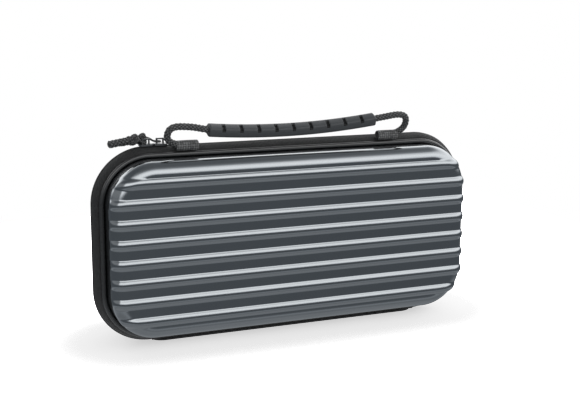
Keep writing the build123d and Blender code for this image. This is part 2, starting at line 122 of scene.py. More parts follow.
def mesh_piece(name: str, patches: list[Patch], sharp: float = 50.0, weld: float = 0.003) -> bpy.types.Object:
    """Make one object of several grids, welded where their edges meet.

    Args:
        name: name of the piece.
        patches: grids in millimetres.
        sharp: faces that meet at more than this angle, in degrees, keep a sharp edge.
        weld: points nearer than this, in millimetres, become one.

    Returns:
        The object, at the origin, its faces outward.
    """
    points, faces, uvs, heights, first = [], [], [], [], 0
    for patch in patches:
        rows, columns = patch.points.shape[:2]
        i, j = np.meshgrid(
            np.arange(rows - (not patch.wrap_u)), np.arange(columns - (not patch.wrap_v)), indexing="ij"
        )
        corner_i = np.stack([i, i + 1, i + 1, i], axis=-1).reshape(-1, 4)
        corner_j = np.stack([j, j, j + 1, j + 1], axis=-1).reshape(-1, 4)
        faces.append(corner_i % rows * columns + corner_j % columns + first)
        uvs.append(patch.uv[corner_i, corner_j].reshape(-1, 2) / UV_CELL)
        points.append(patch.points.reshape(-1, 3) * MM)
        heights.append(np.ones(rows * columns) if patch.height is None else patch.height.ravel())
        first += rows * columns
    mesh = bpy.data.meshes.new(name)
    mesh.from_pydata(np.concatenate(points), [], np.concatenate(faces))
    mesh.uv_layers.new(name="UVMap").data.foreach_set("uv", np.concatenate(uvs).astype(np.float32).ravel())
    relief = mesh.attributes.new("relief", "FLOAT", "POINT")
    relief.data.foreach_set("value", np.concatenate(heights).astype(np.float32))
    work = bmesh.new()
    work.from_mesh(mesh)
    bmesh.ops.remove_doubles(work, verts=work.verts, dist=weld * MM)
    bmesh.ops.recalc_face_normals(work, faces=work.faces)
    work.to_mesh(mesh)
    work.free()
    mesh.polygons.foreach_set("use_smooth", np.ones(len(mesh.polygons), dtype=bool))
    mesh.set_sharp_from_angle(angle=radians(sharp))
    piece = bpy.data.objects.new(name, mesh)
    bpy.context.scene.collection.objects.link(piece)
    return piece


def dress(
    piece: bpy.types.Object, material: bpy.types.Material, slot: str, body: str | None, *nodes: str
) -> bpy.types.Object:
    """Give a piece its material, the body it rides on and the nodes that it stands for.

    Args:
        piece: the new piece.
        material: its finish.
        slot: the record's material slot; not used.
        body: the body it rides on, or None where a blend carries it.
        *nodes: the CAD nodes that it replaces.

    Returns:
        The same piece.
    """
    piece.data.materials.append(material)
    if body is not None:
        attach(piece, body)
    if nodes:
        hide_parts(*nodes)
    LOG.info("%s: %d faces", piece.name, len(piece.data.polygons))
    return piece


def lengths_along(points: np.ndarray) -> np.ndarray:
    """Running length of a line of points, from zero."""
    return np.concatenate([[0.0], np.cumsum(np.linalg.norm(np.diff(points, axis=0), axis=1))])


def unit(vectors: np.ndarray) -> np.ndarray:
    """The same vectors at length one."""
    return vectors / np.maximum(np.linalg.norm(vectors, axis=-1, keepdims=True), 1e-9)


def ease(x: np.ndarray) -> np.ndarray:
    """Smooth step from 0 at x = 0 to 1 at x = 1."""
    t = np.clip(x, 0.0, 1.0)
    return t * t * (3.0 - 2.0 * t)


def bulge(value: np.ndarray, power: float) -> np.ndarray:
    """A superellipse's coordinate: the sine or cosine to a power, with its sign kept."""
    return np.sign(value) * np.abs(value) ** power


def capped(rings: np.ndarray) -> np.ndarray:
    """Rings with one more at each end, drawn together to its middle, so that the tube is closed."""
    ends = rings[[0, -1]].mean(axis=1, keepdims=True).repeat(rings.shape[1], 1)
    return np.concatenate([ends[:1], rings, ends[1:]])


def doubled_ends(lengths: np.ndarray) -> np.ndarray:
    """Lengths that go with capped rings."""
    return np.concatenate([lengths[:1], lengths, lengths[-1:]])


def nurbs_points(name: str, route: np.ndarray, step: float) -> np.ndarray:
    """Points read from a NURBS spline whose control points are a route's points.

    Args:
        name: name of the passing curve.
        route: control points in millimetres.
        step: distance between the points that come back, in millimetres.

    Returns:
        Points in millimetres, evenly spaced along the spline.
    """
    curve = bpy.data.curves.new(name, "CURVE")
    curve.dimensions = "3D"
    curve.resolution_u = 48
    spline = curve.splines.new("NURBS")
    spline.points.add(len(route) - 1)
    spline.points.foreach_set("co", np.c_[route * MM, np.ones(len(route))].ravel())
    spline.order_u = 3
    spline.use_endpoint_u = True
    holder = bpy.data.objects.new(name, curve)
    line = bpy.data.meshes.new_from_object(holder)
    points = np.empty(len(line.vertices) * 3)
    line.vertices.foreach_get("co", points)
    bpy.data.objects.remove(holder)
    bpy.data.curves.remove(curve)
    bpy.data.meshes.remove(line)
    points = points.reshape(-1, 3) / MM
    along = lengths_along(points)
    even = np.linspace(0.0, along[-1], max(int(along[-1] / step), 8))
    return np.stack([np.interp(even, along, points[:, k]) for k in range(3)], axis=-1)


def frames_along(points: np.ndarray, reference: np.ndarray) -> tuple[np.ndarray, np.ndarray]:
    """Two directions across a line at each point: one square to the reference, one near to it.

    Args:
        points: the line.
        reference: one direction, or one for each point, that the line never runs along.

    Returns:
        The unit vectors (tangent x reference) and (that x tangent).
    """
    tangent = unit(np.gradient(points, axis=0))
    aside = unit(np.cross(tangent, np.broadcast_to(reference, points.shape)))
    return aside, np.cross(aside, tangent)


@dataclass(frozen=True)
class Braid:
    """A tubular braid: strands that wind both ways and pass over and under each other."""

    strands: int
    pitch: float  # length along the cord in which a strand moves over by one
    relief: float  # from the valleys between strands up to their crowns
    sides: int
    dive: float = 0.45  # share of the crown that a strand loses under its neighbours

    def tube(
        self, points: np.ndarray, reference: np.ndarray, radius: np.ndarray, closed: bool = False
    ) -> Patch:
        """A braided tube along a line.

        With a = strands * turn + length / pitch and b = strands * turn - length / pitch, the cell
        (floor a, floor b) says which strand is on top; the surface stands out by the square root of
        the sine across that strand, lowered where it dives under its neighbours.

        Args:
            points: middle line in millimetres.
            reference: direction for the frames.
            radius: outer radius at each point.
            closed: whether the line closes on itself.

        Returns:
            The tube as a patch.
        """
        along = lengths_along(points)
        turn = np.linspace(0.0, 1.0, self.sides, endpoint=False)
        a = self.strands * turn[None, :] + along[:, None] / self.pitch
        b = self.strands * turn[None, :] - along[:, None] / self.pitch
        across_a, across_b = np.sin(pi * (a % 1.0)), np.sin(pi * (b % 1.0))
        top = (np.floor(a) + np.floor(b)) % 2 < 0.5
        over, under = np.where(top, across_a, across_b), np.where(top, across_b, across_a)
        crown = np.sqrt(over) * (1.0 - self.dive + self.dive * under)
        full = radius[:, None]
        reach = np.maximum(full - self.relief * (1.0 - crown) * (full > self.relief), 0.0)
        aside, up = frames_along(points, reference)
        cosine, sine = (wave(2 * pi * turn)[None, :, None] for wave in (np.cos, np.sin))
        ring = cosine * aside[:, None] + sine * up[:, None]
        uv = uv_grid(along, np.linspace(0.0, 2 * pi * float(radius.max()), self.sides + 1))
        if closed:
            points, ring, reach = points[:-1], ring[:-1], reach[:-1]
        # crown share kept as relief: the rope and pull finishes paint shade in the valleys between strands
        # from it
        high = crown[: len(points)] if self.relief else np.ones((len(points), self.sides))
        return Patch(points[:, None] + reach[:, :, None] * ring, uv, wrap_u=closed, wrap_v=True, height=high)


def rounded_ends(along: np.ndarray, radius: float, start: float, end: float) -> np.ndarray:
    """Radius of a tube whose ends close in a quarter ellipse.

    Args:
        along: running lengths.
        radius: full radius.
        start: length of the round at the start, or 0 for a flat end.
        end: length of the round at the far end, or 0 for a flat end.

    Returns:
        The radius at each length, zero at both tips.
    """
    left = np.clip(along / max(start, 1e-6), 0.0, 1.0)
    right = np.clip((along[-1] - along) / max(end, 1e-6), 0.0, 1.0)
    return radius * np.sqrt(1 - (1 - left) ** 2) * np.sqrt(1 - (1 - right) ** 2)


# Finishes


class Bench:
    """Short calls for putting nodes into one node tree."""

    def __init__(self, tree: bpy.types.NodeTree) -> None:
        """Work on this tree."""
        self.nodes = tree.nodes
        self.links = tree.links

    def add(self, kind: str, values: dict | None = None, **settings: object) -> bpy.types.Node:
        """Put in a node.

        Args:
            kind: the node's type.
            values: input name or number to a socket, which is linked, or to a plain value.
            **settings: properties of the node.

        Returns:
            The node.
        """
        node = self.nodes.new(kind)
        for key, value in settings.items():
            setattr(node, key, value)
        for key, value in (values or {}).items():
            if isinstance(value, bpy.types.NodeSocket):
                self.links.new(value, node.inputs[key])
            else:
                node.inputs[key].default_value = value
        return node

    def math(self, operation: str, a: object, b: object = 0.0) -> bpy.types.NodeSocket:
        """Result socket of a Math node."""
        return self.add("ShaderNodeMath", {0: a, 1: b}, operation=operation).outputs[0]

    def mix(self, factor: object, a: object, b: object) -> bpy.types.NodeSocket:
        """Result socket of a colour Mix node."""
        node = self.add("ShaderNodeMix", {"Factor": factor}, data_type="RGBA")
        for number, value in ((6, a), (7, b)):
            if isinstance(value, bpy.types.NodeSocket):
                self.links.new(value, node.inputs[number])
            else:
                node.inputs[number].default_value = value
        return node.outputs[2]

    def span(self, value: object, low: float, high: float) -> bpy.types.NodeSocket:
        """A value from 0 to 1 stretched to the span from low to high."""
        return self.add("ShaderNodeMapRange", {"Value": value, "To Min": low, "To Max": high}).outputs[0]


def new_group(
    name: str, inputs: dict[str, tuple[str, float]], outputs: list[str]
) -> tuple[bpy.types.NodeTree, Bench]:
    """Start a shader node group.

    Args:
        name: name of the group.
        inputs: socket name to its kind and default value.
        outputs: names of the float outputs.

    Returns:
        The group and a bench to work on it.
    """
    tree = bpy.data.node_groups.new(name, "ShaderNodeTree")
    for label, (kind, value) in inputs.items():
        socket = tree.interface.new_socket(label, in_out="INPUT", socket_type=kind)
        if kind == "NodeSocketFloat":
            socket.default_value = value
    for label in outputs:
        tree.interface.new_socket(label, in_out="OUTPUT", socket_type="NodeSocketFloat")
    return tree, Bench(tree)


def weave_group() -> bpy.types.NodeTree:
    """Cloth of crossing threads on a UV in centimetres.

    The thread on top changes with floor(u) + floor(v) over the binding's repeat, and the height is the sine
    across that thread; the cloth finish also paints shade between threads with it. Yarn is the uneven tone
    from thread to thread.
    """
    tree, bench = new_group(
        "crossing_threads",
        {
            "Vector": ("NodeSocketVector", 0.0),
            "Warp": ("NodeSocketFloat", 12.0),
            "Weft": ("NodeSocketFloat", 12.0),
            "Repeat": ("NodeSocketFloat", 2.0),
        },
        ["Height", "Yarn"],
    )
    source = bench.add("NodeGroupInput")
    split = bench.add("ShaderNodeSeparateXYZ", {0: source.outputs["Vector"]})
    u = bench.math("MULTIPLY", split.outputs[0], source.outputs["Warp"])
    v = bench.math("MULTIPLY", split.outputs[1], source.outputs["Weft"])
    floor_u, floor_v = bench.math("FLOOR", u), bench.math("FLOOR", v)
    repeat = source.outputs["Repeat"]
    turn = bench.math("FLOORED_MODULO", bench.math("ADD", floor_u, floor_v), repeat)
    turn = bench.math("DIVIDE", turn, repeat)
    over = bench.math("LESS_THAN", turn, 0.49)
    ridge_u = bench.math("SINE", bench.math("MULTIPLY", bench.math("FRACT", u), pi))
    ridge_v = bench.math("SINE", bench.math("MULTIPLY", bench.math("FRACT", v), pi))
    height = bench.math(
        "ADD",
        bench.math("MULTIPLY", over, ridge_u),
        bench.math("MULTIPLY", bench.math("SUBTRACT", 1.0, over), ridge_v),
    )
    thread = bench.add("ShaderNodeCombineXYZ", {0: floor_u, 1: floor_v, 2: over})
    yarn = bench.add("ShaderNodeTexWhiteNoise", {"Vector": thread.outputs[0]}, noise_dimensions="3D")
    target = bench.add("NodeGroupOutput", {"Height": height})
    bench.links.new(yarn.outputs["Value"], target.inputs["Yarn"])
    return tree


def grain_group() -> bpy.types.NodeTree:
    """Uneven grain on Object coordinates: Fine for bumps and Cloudy for slow changes of shade."""
    tree, bench = new_group(
        "uneven_grain",
        {"Fine Scale": ("NodeSocketFloat", 1200.0), "Cloud Scale": ("NodeSocketFloat", 40.0)},
        ["Fine", "Cloudy"],
    )
    source = bench.add("NodeGroupInput")
    place = bench.add("ShaderNodeTexCoord").outputs["Object"]
    fine, cloud = (
        bench.add("ShaderNodeTexNoise", {"Vector": place, "Scale": source.outputs[scale], "Detail": detail})
        for scale, detail in (("Fine Scale", 2.0), ("Cloud Scale", 3.0))
    )
    bench.add("NodeGroupOutput", {"Fine": fine.outputs[0], "Cloudy": cloud.outputs[0]})
    return tree


WEAVE_GROUP = weave_group()
GRAIN_GROUP = grain_group()
Colour = tuple[float, float, float, float]


def shade(value: float, red: float = 1.0, green: float = 1.0, blue: float = 1.0) -> Colour:
    """A grey with a slight tint, as linear RGBA."""
    return (value * red, value * green, value * blue, 1.0)


def new_material(name: str) -> tuple[bpy.types.Material, Bench, bpy.types.Node]:
    """An empty node material.

    Args:
        name: name of the material.

    Returns:
        The material, a bench to work on it and its Principled shader.
    """
    material = bpy.data.materials.new(name)
    material.use_nodes = True
    shader = material.node_tree.nodes["Principled BSDF"]
    return material, Bench(material.node_tree), shader


@dataclass(frozen=True)
class Moulded:
    """Moulded or painted hard finish with a fine grain."""

    dark: Colour
    light: Colour
    roughness: tuple[float, float]
    metallic: float = 0.0
    specular: float = 0.5
    coat: float = 0.0
    coat_roughness: float = 0.1
    grain: float = 1500.0
    bump: float = 0.05
    bump_depth: float = 0.00005
    slots: Colour | None = None  # painted shade: near-black colour put where the piece's relief is cut away

    def make(self, name: str) -> bpy.types.Material:
        """Build the material under this name."""
        material, bench, shader = new_material(name)
        grain = bench.add("ShaderNodeGroup", node_tree=GRAIN_GROUP)
        grain.inputs["Fine Scale"].default_value = self.grain
        colour = bench.mix(grain.outputs["Fine"], self.dark, self.light)
        if self.slots is not None:
            # painted shade in the slots: the relief attribute mixes in the slots colour where the top is cut
            # away
            left = bench.add("ShaderNodeAttribute", attribute_name="relief").outputs["Fac"]
            colour = bench.mix(left, self.slots, colour)
        bench.links.new(colour, shader.inputs["Base Color"])
        bench.links.new(bench.span(grain.outputs["Cloudy"], *self.roughness), shader.inputs["Roughness"])
        relief = bench.add(
            "ShaderNodeBump",
            {"Height": grain.outputs["Fine"], "Strength": self.bump, "Distance": self.bump_depth},
        )
        bench.links.new(relief.outputs[0], shader.inputs["Normal"])
        shader.inputs["Metallic"].default_value = self.metallic
        shader.inputs["Specular IOR Level"].default_value = self.specular
        shader.inputs["Coat Weight"].default_value = self.coat
        shader.inputs["Coat Roughness"].default_value = self.coat_roughness
        return material


@dataclass(frozen=True)
class Cloth:
    """Woven finish on the piece's own UV, with uneven yarns and painted shade between threads and, where set,
    between a braid's strands.
    """

    dark: Colour
    light: Colour
    warp: float  # threads to the centimetre
    weft: float
    binding: Weave = Weave.PLAIN
    roughness: float = 0.75
    sheen: float = 0.03
    specular: float = 0.16
    bump: float = 0.5
    bump_depth: float = 0.0002
    valley: float = 1.0  # painted shade between a braid's strands: share of the yarn's tone left there

    def make(self, name: str) -> bpy.types.Material:
        """Build the material under this name."""
        material, bench, shader = new_material(name)
        place = bench.add("ShaderNodeTexCoord").outputs["UV"]
        weave = bench.add("ShaderNodeGroup", node_tree=WEAVE_GROUP)
        bench.links.new(place, weave.inputs["Vector"])
        weave.inputs["Warp"].default_value = self.warp
        weave.inputs["Weft"].default_value = self.weft
        weave.inputs["Repeat"].default_value = float(self.binding.value)
        grain = bench.add("ShaderNodeGroup", node_tree=GRAIN_GROUP)
        # thread edges darker by the weave's height: painted shade between threads; the yarn noise is each
        # thread's own tone
        tone = bench.math("MULTIPLY", weave.outputs["Height"], bench.span(weave.outputs["Yarn"], 0.45, 1.0))
        # painted shade between a braid's strands, read from the relief attribute
        crown = bench.add("ShaderNodeAttribute", attribute_name="relief").outputs["Fac"]
        deep = bench.math("POWER", crown, 1.6)
        tone = bench.math("MULTIPLY", tone, bench.span(deep, self.valley, 1.0))
        colour = bench.mix(tone, self.dark, self.light)
        bench.links.new(colour, shader.inputs["Base Color"])
        rough = bench.span(grain.outputs["Cloudy"], self.roughness - 0.08, self.roughness + 0.08)
        bench.links.new(rough, shader.inputs["Roughness"])
        relief = bench.add(
            "ShaderNodeBump",
            {"Height": weave.outputs["Height"], "Strength": self.bump, "Distance": self.bump_depth},
        )
        bench.links.new(relief.outputs[0], shader.inputs["Normal"])
        shader.inputs["Specular IOR Level"].default_value = self.specular
        shader.inputs["Sheen Weight"].default_value = self.sheen
        shader.inputs["Sheen Roughness"].default_value = 0.5
        return material


@dataclass(frozen=True)
class Pile:
    """Short fibres: flock, fleece or loop pile, on Object coordinates."""

    dark: Colour
    light: Colour
    fibre: float = 2600.0
    roughness: float = 0.92
    sheen: float = 0.1
    bump: float = 0.6

    def make(self, name: str) -> bpy.types.Material:
        """Build the material under this name."""
        material, bench, shader = new_material(name)
        grain = bench.add("ShaderNodeGroup", node_tree=GRAIN_GROUP)
        grain.inputs["Fine Scale"].default_value = self.fibre
        grain.inputs["Cloud Scale"].default_value = 55.0
        tone = bench.math("MULTIPLY", grain.outputs["Fine"], bench.span(grain.outputs["Cloudy"], 0.7, 1.3))
        bench.links.new(bench.mix(tone, self.dark, self.light), shader.inputs["Base Color"])
        rough = bench.span(grain.outputs["Fine"], self.roughness - 0.06, self.roughness + 0.06)
        bench.links.new(rough, shader.inputs["Roughness"])
        relief = bench.add(
            "ShaderNodeBump", {"Height": grain.outputs["Fine"], "Strength": self.bump, "Distance": 0.0003}
        )
        bench.links.new(relief.outputs[0], shader.inputs["Normal"])
        shader.inputs["Specular IOR Level"].default_value = 0.12
        shader.inputs["Sheen Weight"].default_value = self.sheen
        return material


SHELL_PAINT = Moulded(
    dark=shade(0.31, 0.955, 1.0, 1.04),
    light=shade(0.39, 0.955, 1.0, 1.04),
    roughness=(0.12, 0.17),
    metallic=1.0,
    grain=2400.0,
    bump=0.05,
)
RIM_CLOTH = Cloth(
    shade(0.012), shade(0.06), warp=15.0, weft=15.0, binding=Weave.TWILL, roughness=0.6, bump=0.8
)
PIPING_VINYL = Moulded(
    shade(0.02), shade(0.034), roughness=(0.2, 0.27), specular=0.85, grain=900.0, bump=0.08
)
COIL_NYLON = Moulded(shade(0.008), shade(0.016), roughness=(0.35, 0.45), specular=0.3, grain=1500.0)
# braid valleys painted fully dark as shade; crowns keep the yarn's light tone
ROPE_YARN = Cloth(shade(0.006), shade(0.34), warp=26.0, weft=20.0, roughness=0.5, bump=0.3, valley=0.0)
TAB_WEBBING = Cloth(shade(0.006), shade(0.26), warp=7.0, weft=6.0, roughness=0.6, bump=0.8)
GRIP_RUBBER = Moulded(
    dark=shade(0.058, 0.95, 1.0, 1.05),
    light=shade(0.09, 0.95, 1.0, 1.05),
    roughness=(0.34, 0.44),
    specular=0.28,
    grain=1100.0,
    bump=0.18,
    # slot floors painted near black as shade in the recesses
    slots=shade(0.001),
)
SLIDER_METAL = Moulded(
    shade(0.16), shade(0.24), roughness=(0.25, 0.38), metallic=1.0, grain=700.0, bump=0.1, bump_depth=0.0001
)
# braid valleys painted fully dark as shade; crowns keep the yarn's light tone
PULL_YARN = Cloth(shade(0.006), shade(0.30), warp=22.0, weft=18.0, roughness=0.5, bump=0.3, valley=0.0)
LINING_FLEECE = Pile(shade(0.020), shade(0.060))
TRAY_FLOCK = Pile(shade(0.018), shade(0.048), fibre=3200.0)
STRAP_CLOTH = Cloth(shade(0.014), shade(0.06), warp=13.0, weft=8.0, roughness=0.7)
POCKET_CLOTH = Cloth(shade(0.016), shade(0.062), warp=15.0, weft=15.0, roughness=0.72)
HEM_CLOTH = Cloth(shade(0.010), shade(0.030), warp=18.0, weft=10.0, binding=Weave.TWILL, roughness=0.6)
PAD_CLOTH = Cloth(shade(0.022), shade(0.070), warp=16.0, weft=16.0, binding=Weave.TWILL, roughness=0.78)


# The case's outline


@dataclass(frozen=True)
class Outline:
    """Round-cornered rectangle in the XZ plane, the foot of the shells."""

    half_width: float = 129.5
    half_height: float = 59.0
    corner: float = 30.5
    middle: float = 65.5

    def trace(
        self, run: Run, corner_steps: int, side_steps: int, long_steps: int
    ) -> tuple[np.ndarray, np.ndarray, np.ndarray]:
        """Follow the outline from the left foot corner, up, over the top and down.

        A point of the outline is a point of the inner rectangle of corner centres plus the corner radius
        along the outward normal, so a band at another height only changes that radius.

        Args:
            run: how far to go.
            corner_steps: steps in each corner.
            side_steps: steps on each short side.
            long_steps: steps on each long side.

        Returns:
            Centres (n, 2) as x and z, normals (n, 2) and running lengths (n).
        """
        cx, cz = self.half_width - self.corner, self.half_height - self.corner
        angle, x, z = [], [], []
        legs = [
            (270, 180, -cx, -cx, -cz, -cz, corner_steps),
            (180, 180, -cx, -cx, -cz, cz, side_steps),
            (180, 90, -cx, -cx, cz, cz, corner_steps),
            (90, 90, -cx, cx, cz, cz, long_steps),
            (90, 0, cx, cx, cz, cz, corner_steps),
            (0, 0, cx, cx, cz, -cz, side_steps),
            (0, -90, cx, cx, -cz, -cz, corner_steps),
        ]
        if run is Run.ALL_ROUND:
            legs.append((-90, -90, cx, -cx, -cz, -cz, long_steps))
        for a0, a1, x0, x1, z0, z1, steps in legs:
            t = np.linspace(0.0, 1.0, steps + 1)[:-1]
            angle.append(a0 + (a1 - a0) * t)
            x.append(x0 + (x1 - x0) * t)
            z.append(z0 + (z1 - z0) * t)
        if run is Run.OVER_TOP:
            angle.append(np.array([-90.0]))
            x.append(np.array([cx]))
            z.append(np.array([-cz]))
        way = np.radians(np.concatenate(angle))
        normals = np.stack([np.cos(way), np.sin(way)], axis=-1)
        centres = np.stack([np.concatenate(x), self.middle + np.concatenate(z)], axis=-1)
        ring = centres + self.corner * normals
        if run is Run.ALL_ROUND:
            ring = np.concatenate([ring, ring[:1]])
        return centres, normals, lengths_along(ring)

    def band(
        self, centres: np.ndarray, normals: np.ndarray, out: np.ndarray, forward: np.ndarray, half: Half
    ) -> np.ndarray:
        """Carry a profile round a trace.

        Args:
            centres: from trace.
            normals: from trace.
            out: the profile's distance out from the shell's foot.
            forward: the profile's distance from the zip plane.
            half: the side of the zip plane.

        Returns:
            Points of shape (len(centres), len(out), 3).
        """
        flat = centres[:, None] + (self.corner + out)[None, :, None] * normals[:, None]
        depth = np.broadcast_to(half.value * forward[None, :], flat.shape[:2])
        return np.stack([flat[..., 0], depth, flat[..., 1]], axis=-1)


OUTLINE = Outline()


# Shells


@dataclass(frozen=True)
class Shell:
    """One moulded shell: drafted wall, round front edge and a field with raised beads."""

    half: Half
    foot: float = 7.1
    depth: float = 27.0
    draft: float = 2.0
    edge: float = 8.5
    wall: float = 2.5
    beads: int = 8
    pitch: float = 13.0
    bead_width: float = 6.5
    bead_height: float = 1.2
    bead_foot: float = 0.1
    corner_steps: int = 64
    side_steps: int = 142
    long_steps: int = 48

    def bead_relief(self, z: np.ndarray) -> np.ndarray:
        """Height of the beads over the skin at a height z over the floor.

        Each bead is a segment of a circle as wide and as high as the bead; a small hyperbola rounds the
        line where it leaves the skin.
        """
        circle = (self.bead_width**2 / 4 + self.bead_height**2) / (2 * self.bead_height)
        first = OUTLINE.middle - self.pitch * (self.beads - 1) / 2
        number = np.clip(np.round((z - first) / self.pitch), 0, self.beads - 1)
        away = np.minimum(np.abs(z - first - number * self.pitch), 0.99 * circle)
        segment = np.sqrt(circle**2 - away**2) - (circle - self.bead_height)
        return 0.5 * (segment + np.sqrt(segment**2 + self.bead_foot**2))

    def profile(self, steps: int, wall_steps: int) -> tuple[np.ndarray, np.ndarray, np.ndarray]:
        """Wall and round edge of the outer skin, from the foot to the field.

        Args:
            steps: steps round the edge.
            wall_steps: steps up the wall.

        Returns:
            Distance out, distance from the zip plane and angle of the normal, in radians.
        """
        slope = radians(self.draft)
        centre = self.depth - self.edge
        inset = -(centre - self.foot) * tan(slope) - self.edge / cos(slope)
        angle = np.linspace(slope, pi / 2, steps + 1)
        out, forward = inset + self.edge * np.cos(angle), centre + self.edge * np.sin(angle)
        rise = np.linspace(self.foot, forward[0], wall_steps + 1)[:-1]
        return (
            np.concatenate([-(rise - self.foot) * tan(slope), out]),
            np.concatenate([rise, forward]),
            np.concatenate([np.full(len(rise), slope), angle]),
        )

    def skin(self, thick: float, steps: int, wall_steps: int) -> list[Patch]:
        """One skin as a border grid and a field grid that share their edge.

        The border carries the profile round the outline and moves each point out along its normal by the
        bead relief, faded in by a sine over the first half of the round edge. The field has a row for each
        border point of a side, x = share of the row's half width, at the full depth plus the relief.

        Args:
            thick: distance of the skin in from the outer one; an inner skin has no beads.
            steps: steps round the edge.
            wall_steps: steps up the wall.

        Returns:
            Two patches.
        """
        out, forward, angle = self.profile(steps, wall_steps)
        steps_round = (self.corner_steps, self.side_steps, self.long_steps)
        centres, normals, along = OUTLINE.trace(Run.ALL_ROUND, *steps_round)
        fade = np.sin(pi / 2 * np.clip((angle - radians(4)) / radians(44), 0.0, 1.0))
        height = (centres[:, None] + (OUTLINE.corner + out)[None, :, None] * normals[:, None])[..., 1]
        proud = self.bead_relief(height) * fade if thick == 0 else np.full(height.shape, -thick)
        reach = OUTLINE.corner + out + proud * np.cos(angle)
        flat = centres[:, None] + reach[..., None] * normals[:, None]
        deep = self.half.value * (forward + proud * np.sin(angle))
        border = np.stack([flat[..., 0], deep, flat[..., 1]], axis=-1)
        count = self.corner_steps * 2 + self.side_steps
        edge = centres[: count + 1] + (OUTLINE.corner + out[-1]) * normals[: count + 1]
        share = np.linspace(-1.0, 1.0, self.long_steps + 1)
        x = -share[None, :] * edge[:, :1]
        z = np.broadcast_to(edge[:, 1:], x.shape)
        lift = self.bead_relief(z) if thick == 0 else np.full(z.shape, -thick)
        field = np.stack([x, self.half.value * (self.depth + lift), z], axis=-1)
        across = lengths_along(np.stack([out, forward], axis=-1))
        return [
            Patch(border, uv_grid(along, across), wrap_u=True),
            Patch(field, np.stack([x, z], axis=-1)),
        ]

    def build(self) -> bpy.types.Object:
        """Both skins and the foot between them, as one closed piece."""
        outer, inner = self.skin(0.0, 18, 7), self.skin(self.wall, 8, 2)
        foot = np.stack([outer[0].points[:, 0], inner[0].points[:, 0]], axis=1)
        along = outer[0].uv[:, 0, 0]
        closing = Patch(foot, uv_grid(along, np.array([0.0, self.wall])), wrap_u=True)
        node = f"{self.half.body}_shell"
        piece = mesh_piece(f"{self.half.body}_ribbed_shell", [*outer, closing, *inner])
        return dress(piece, SHELL_PAINT.make(f"{self.half.body}_shell_paint"), "shell", self.half.body, node)


# Zip rim


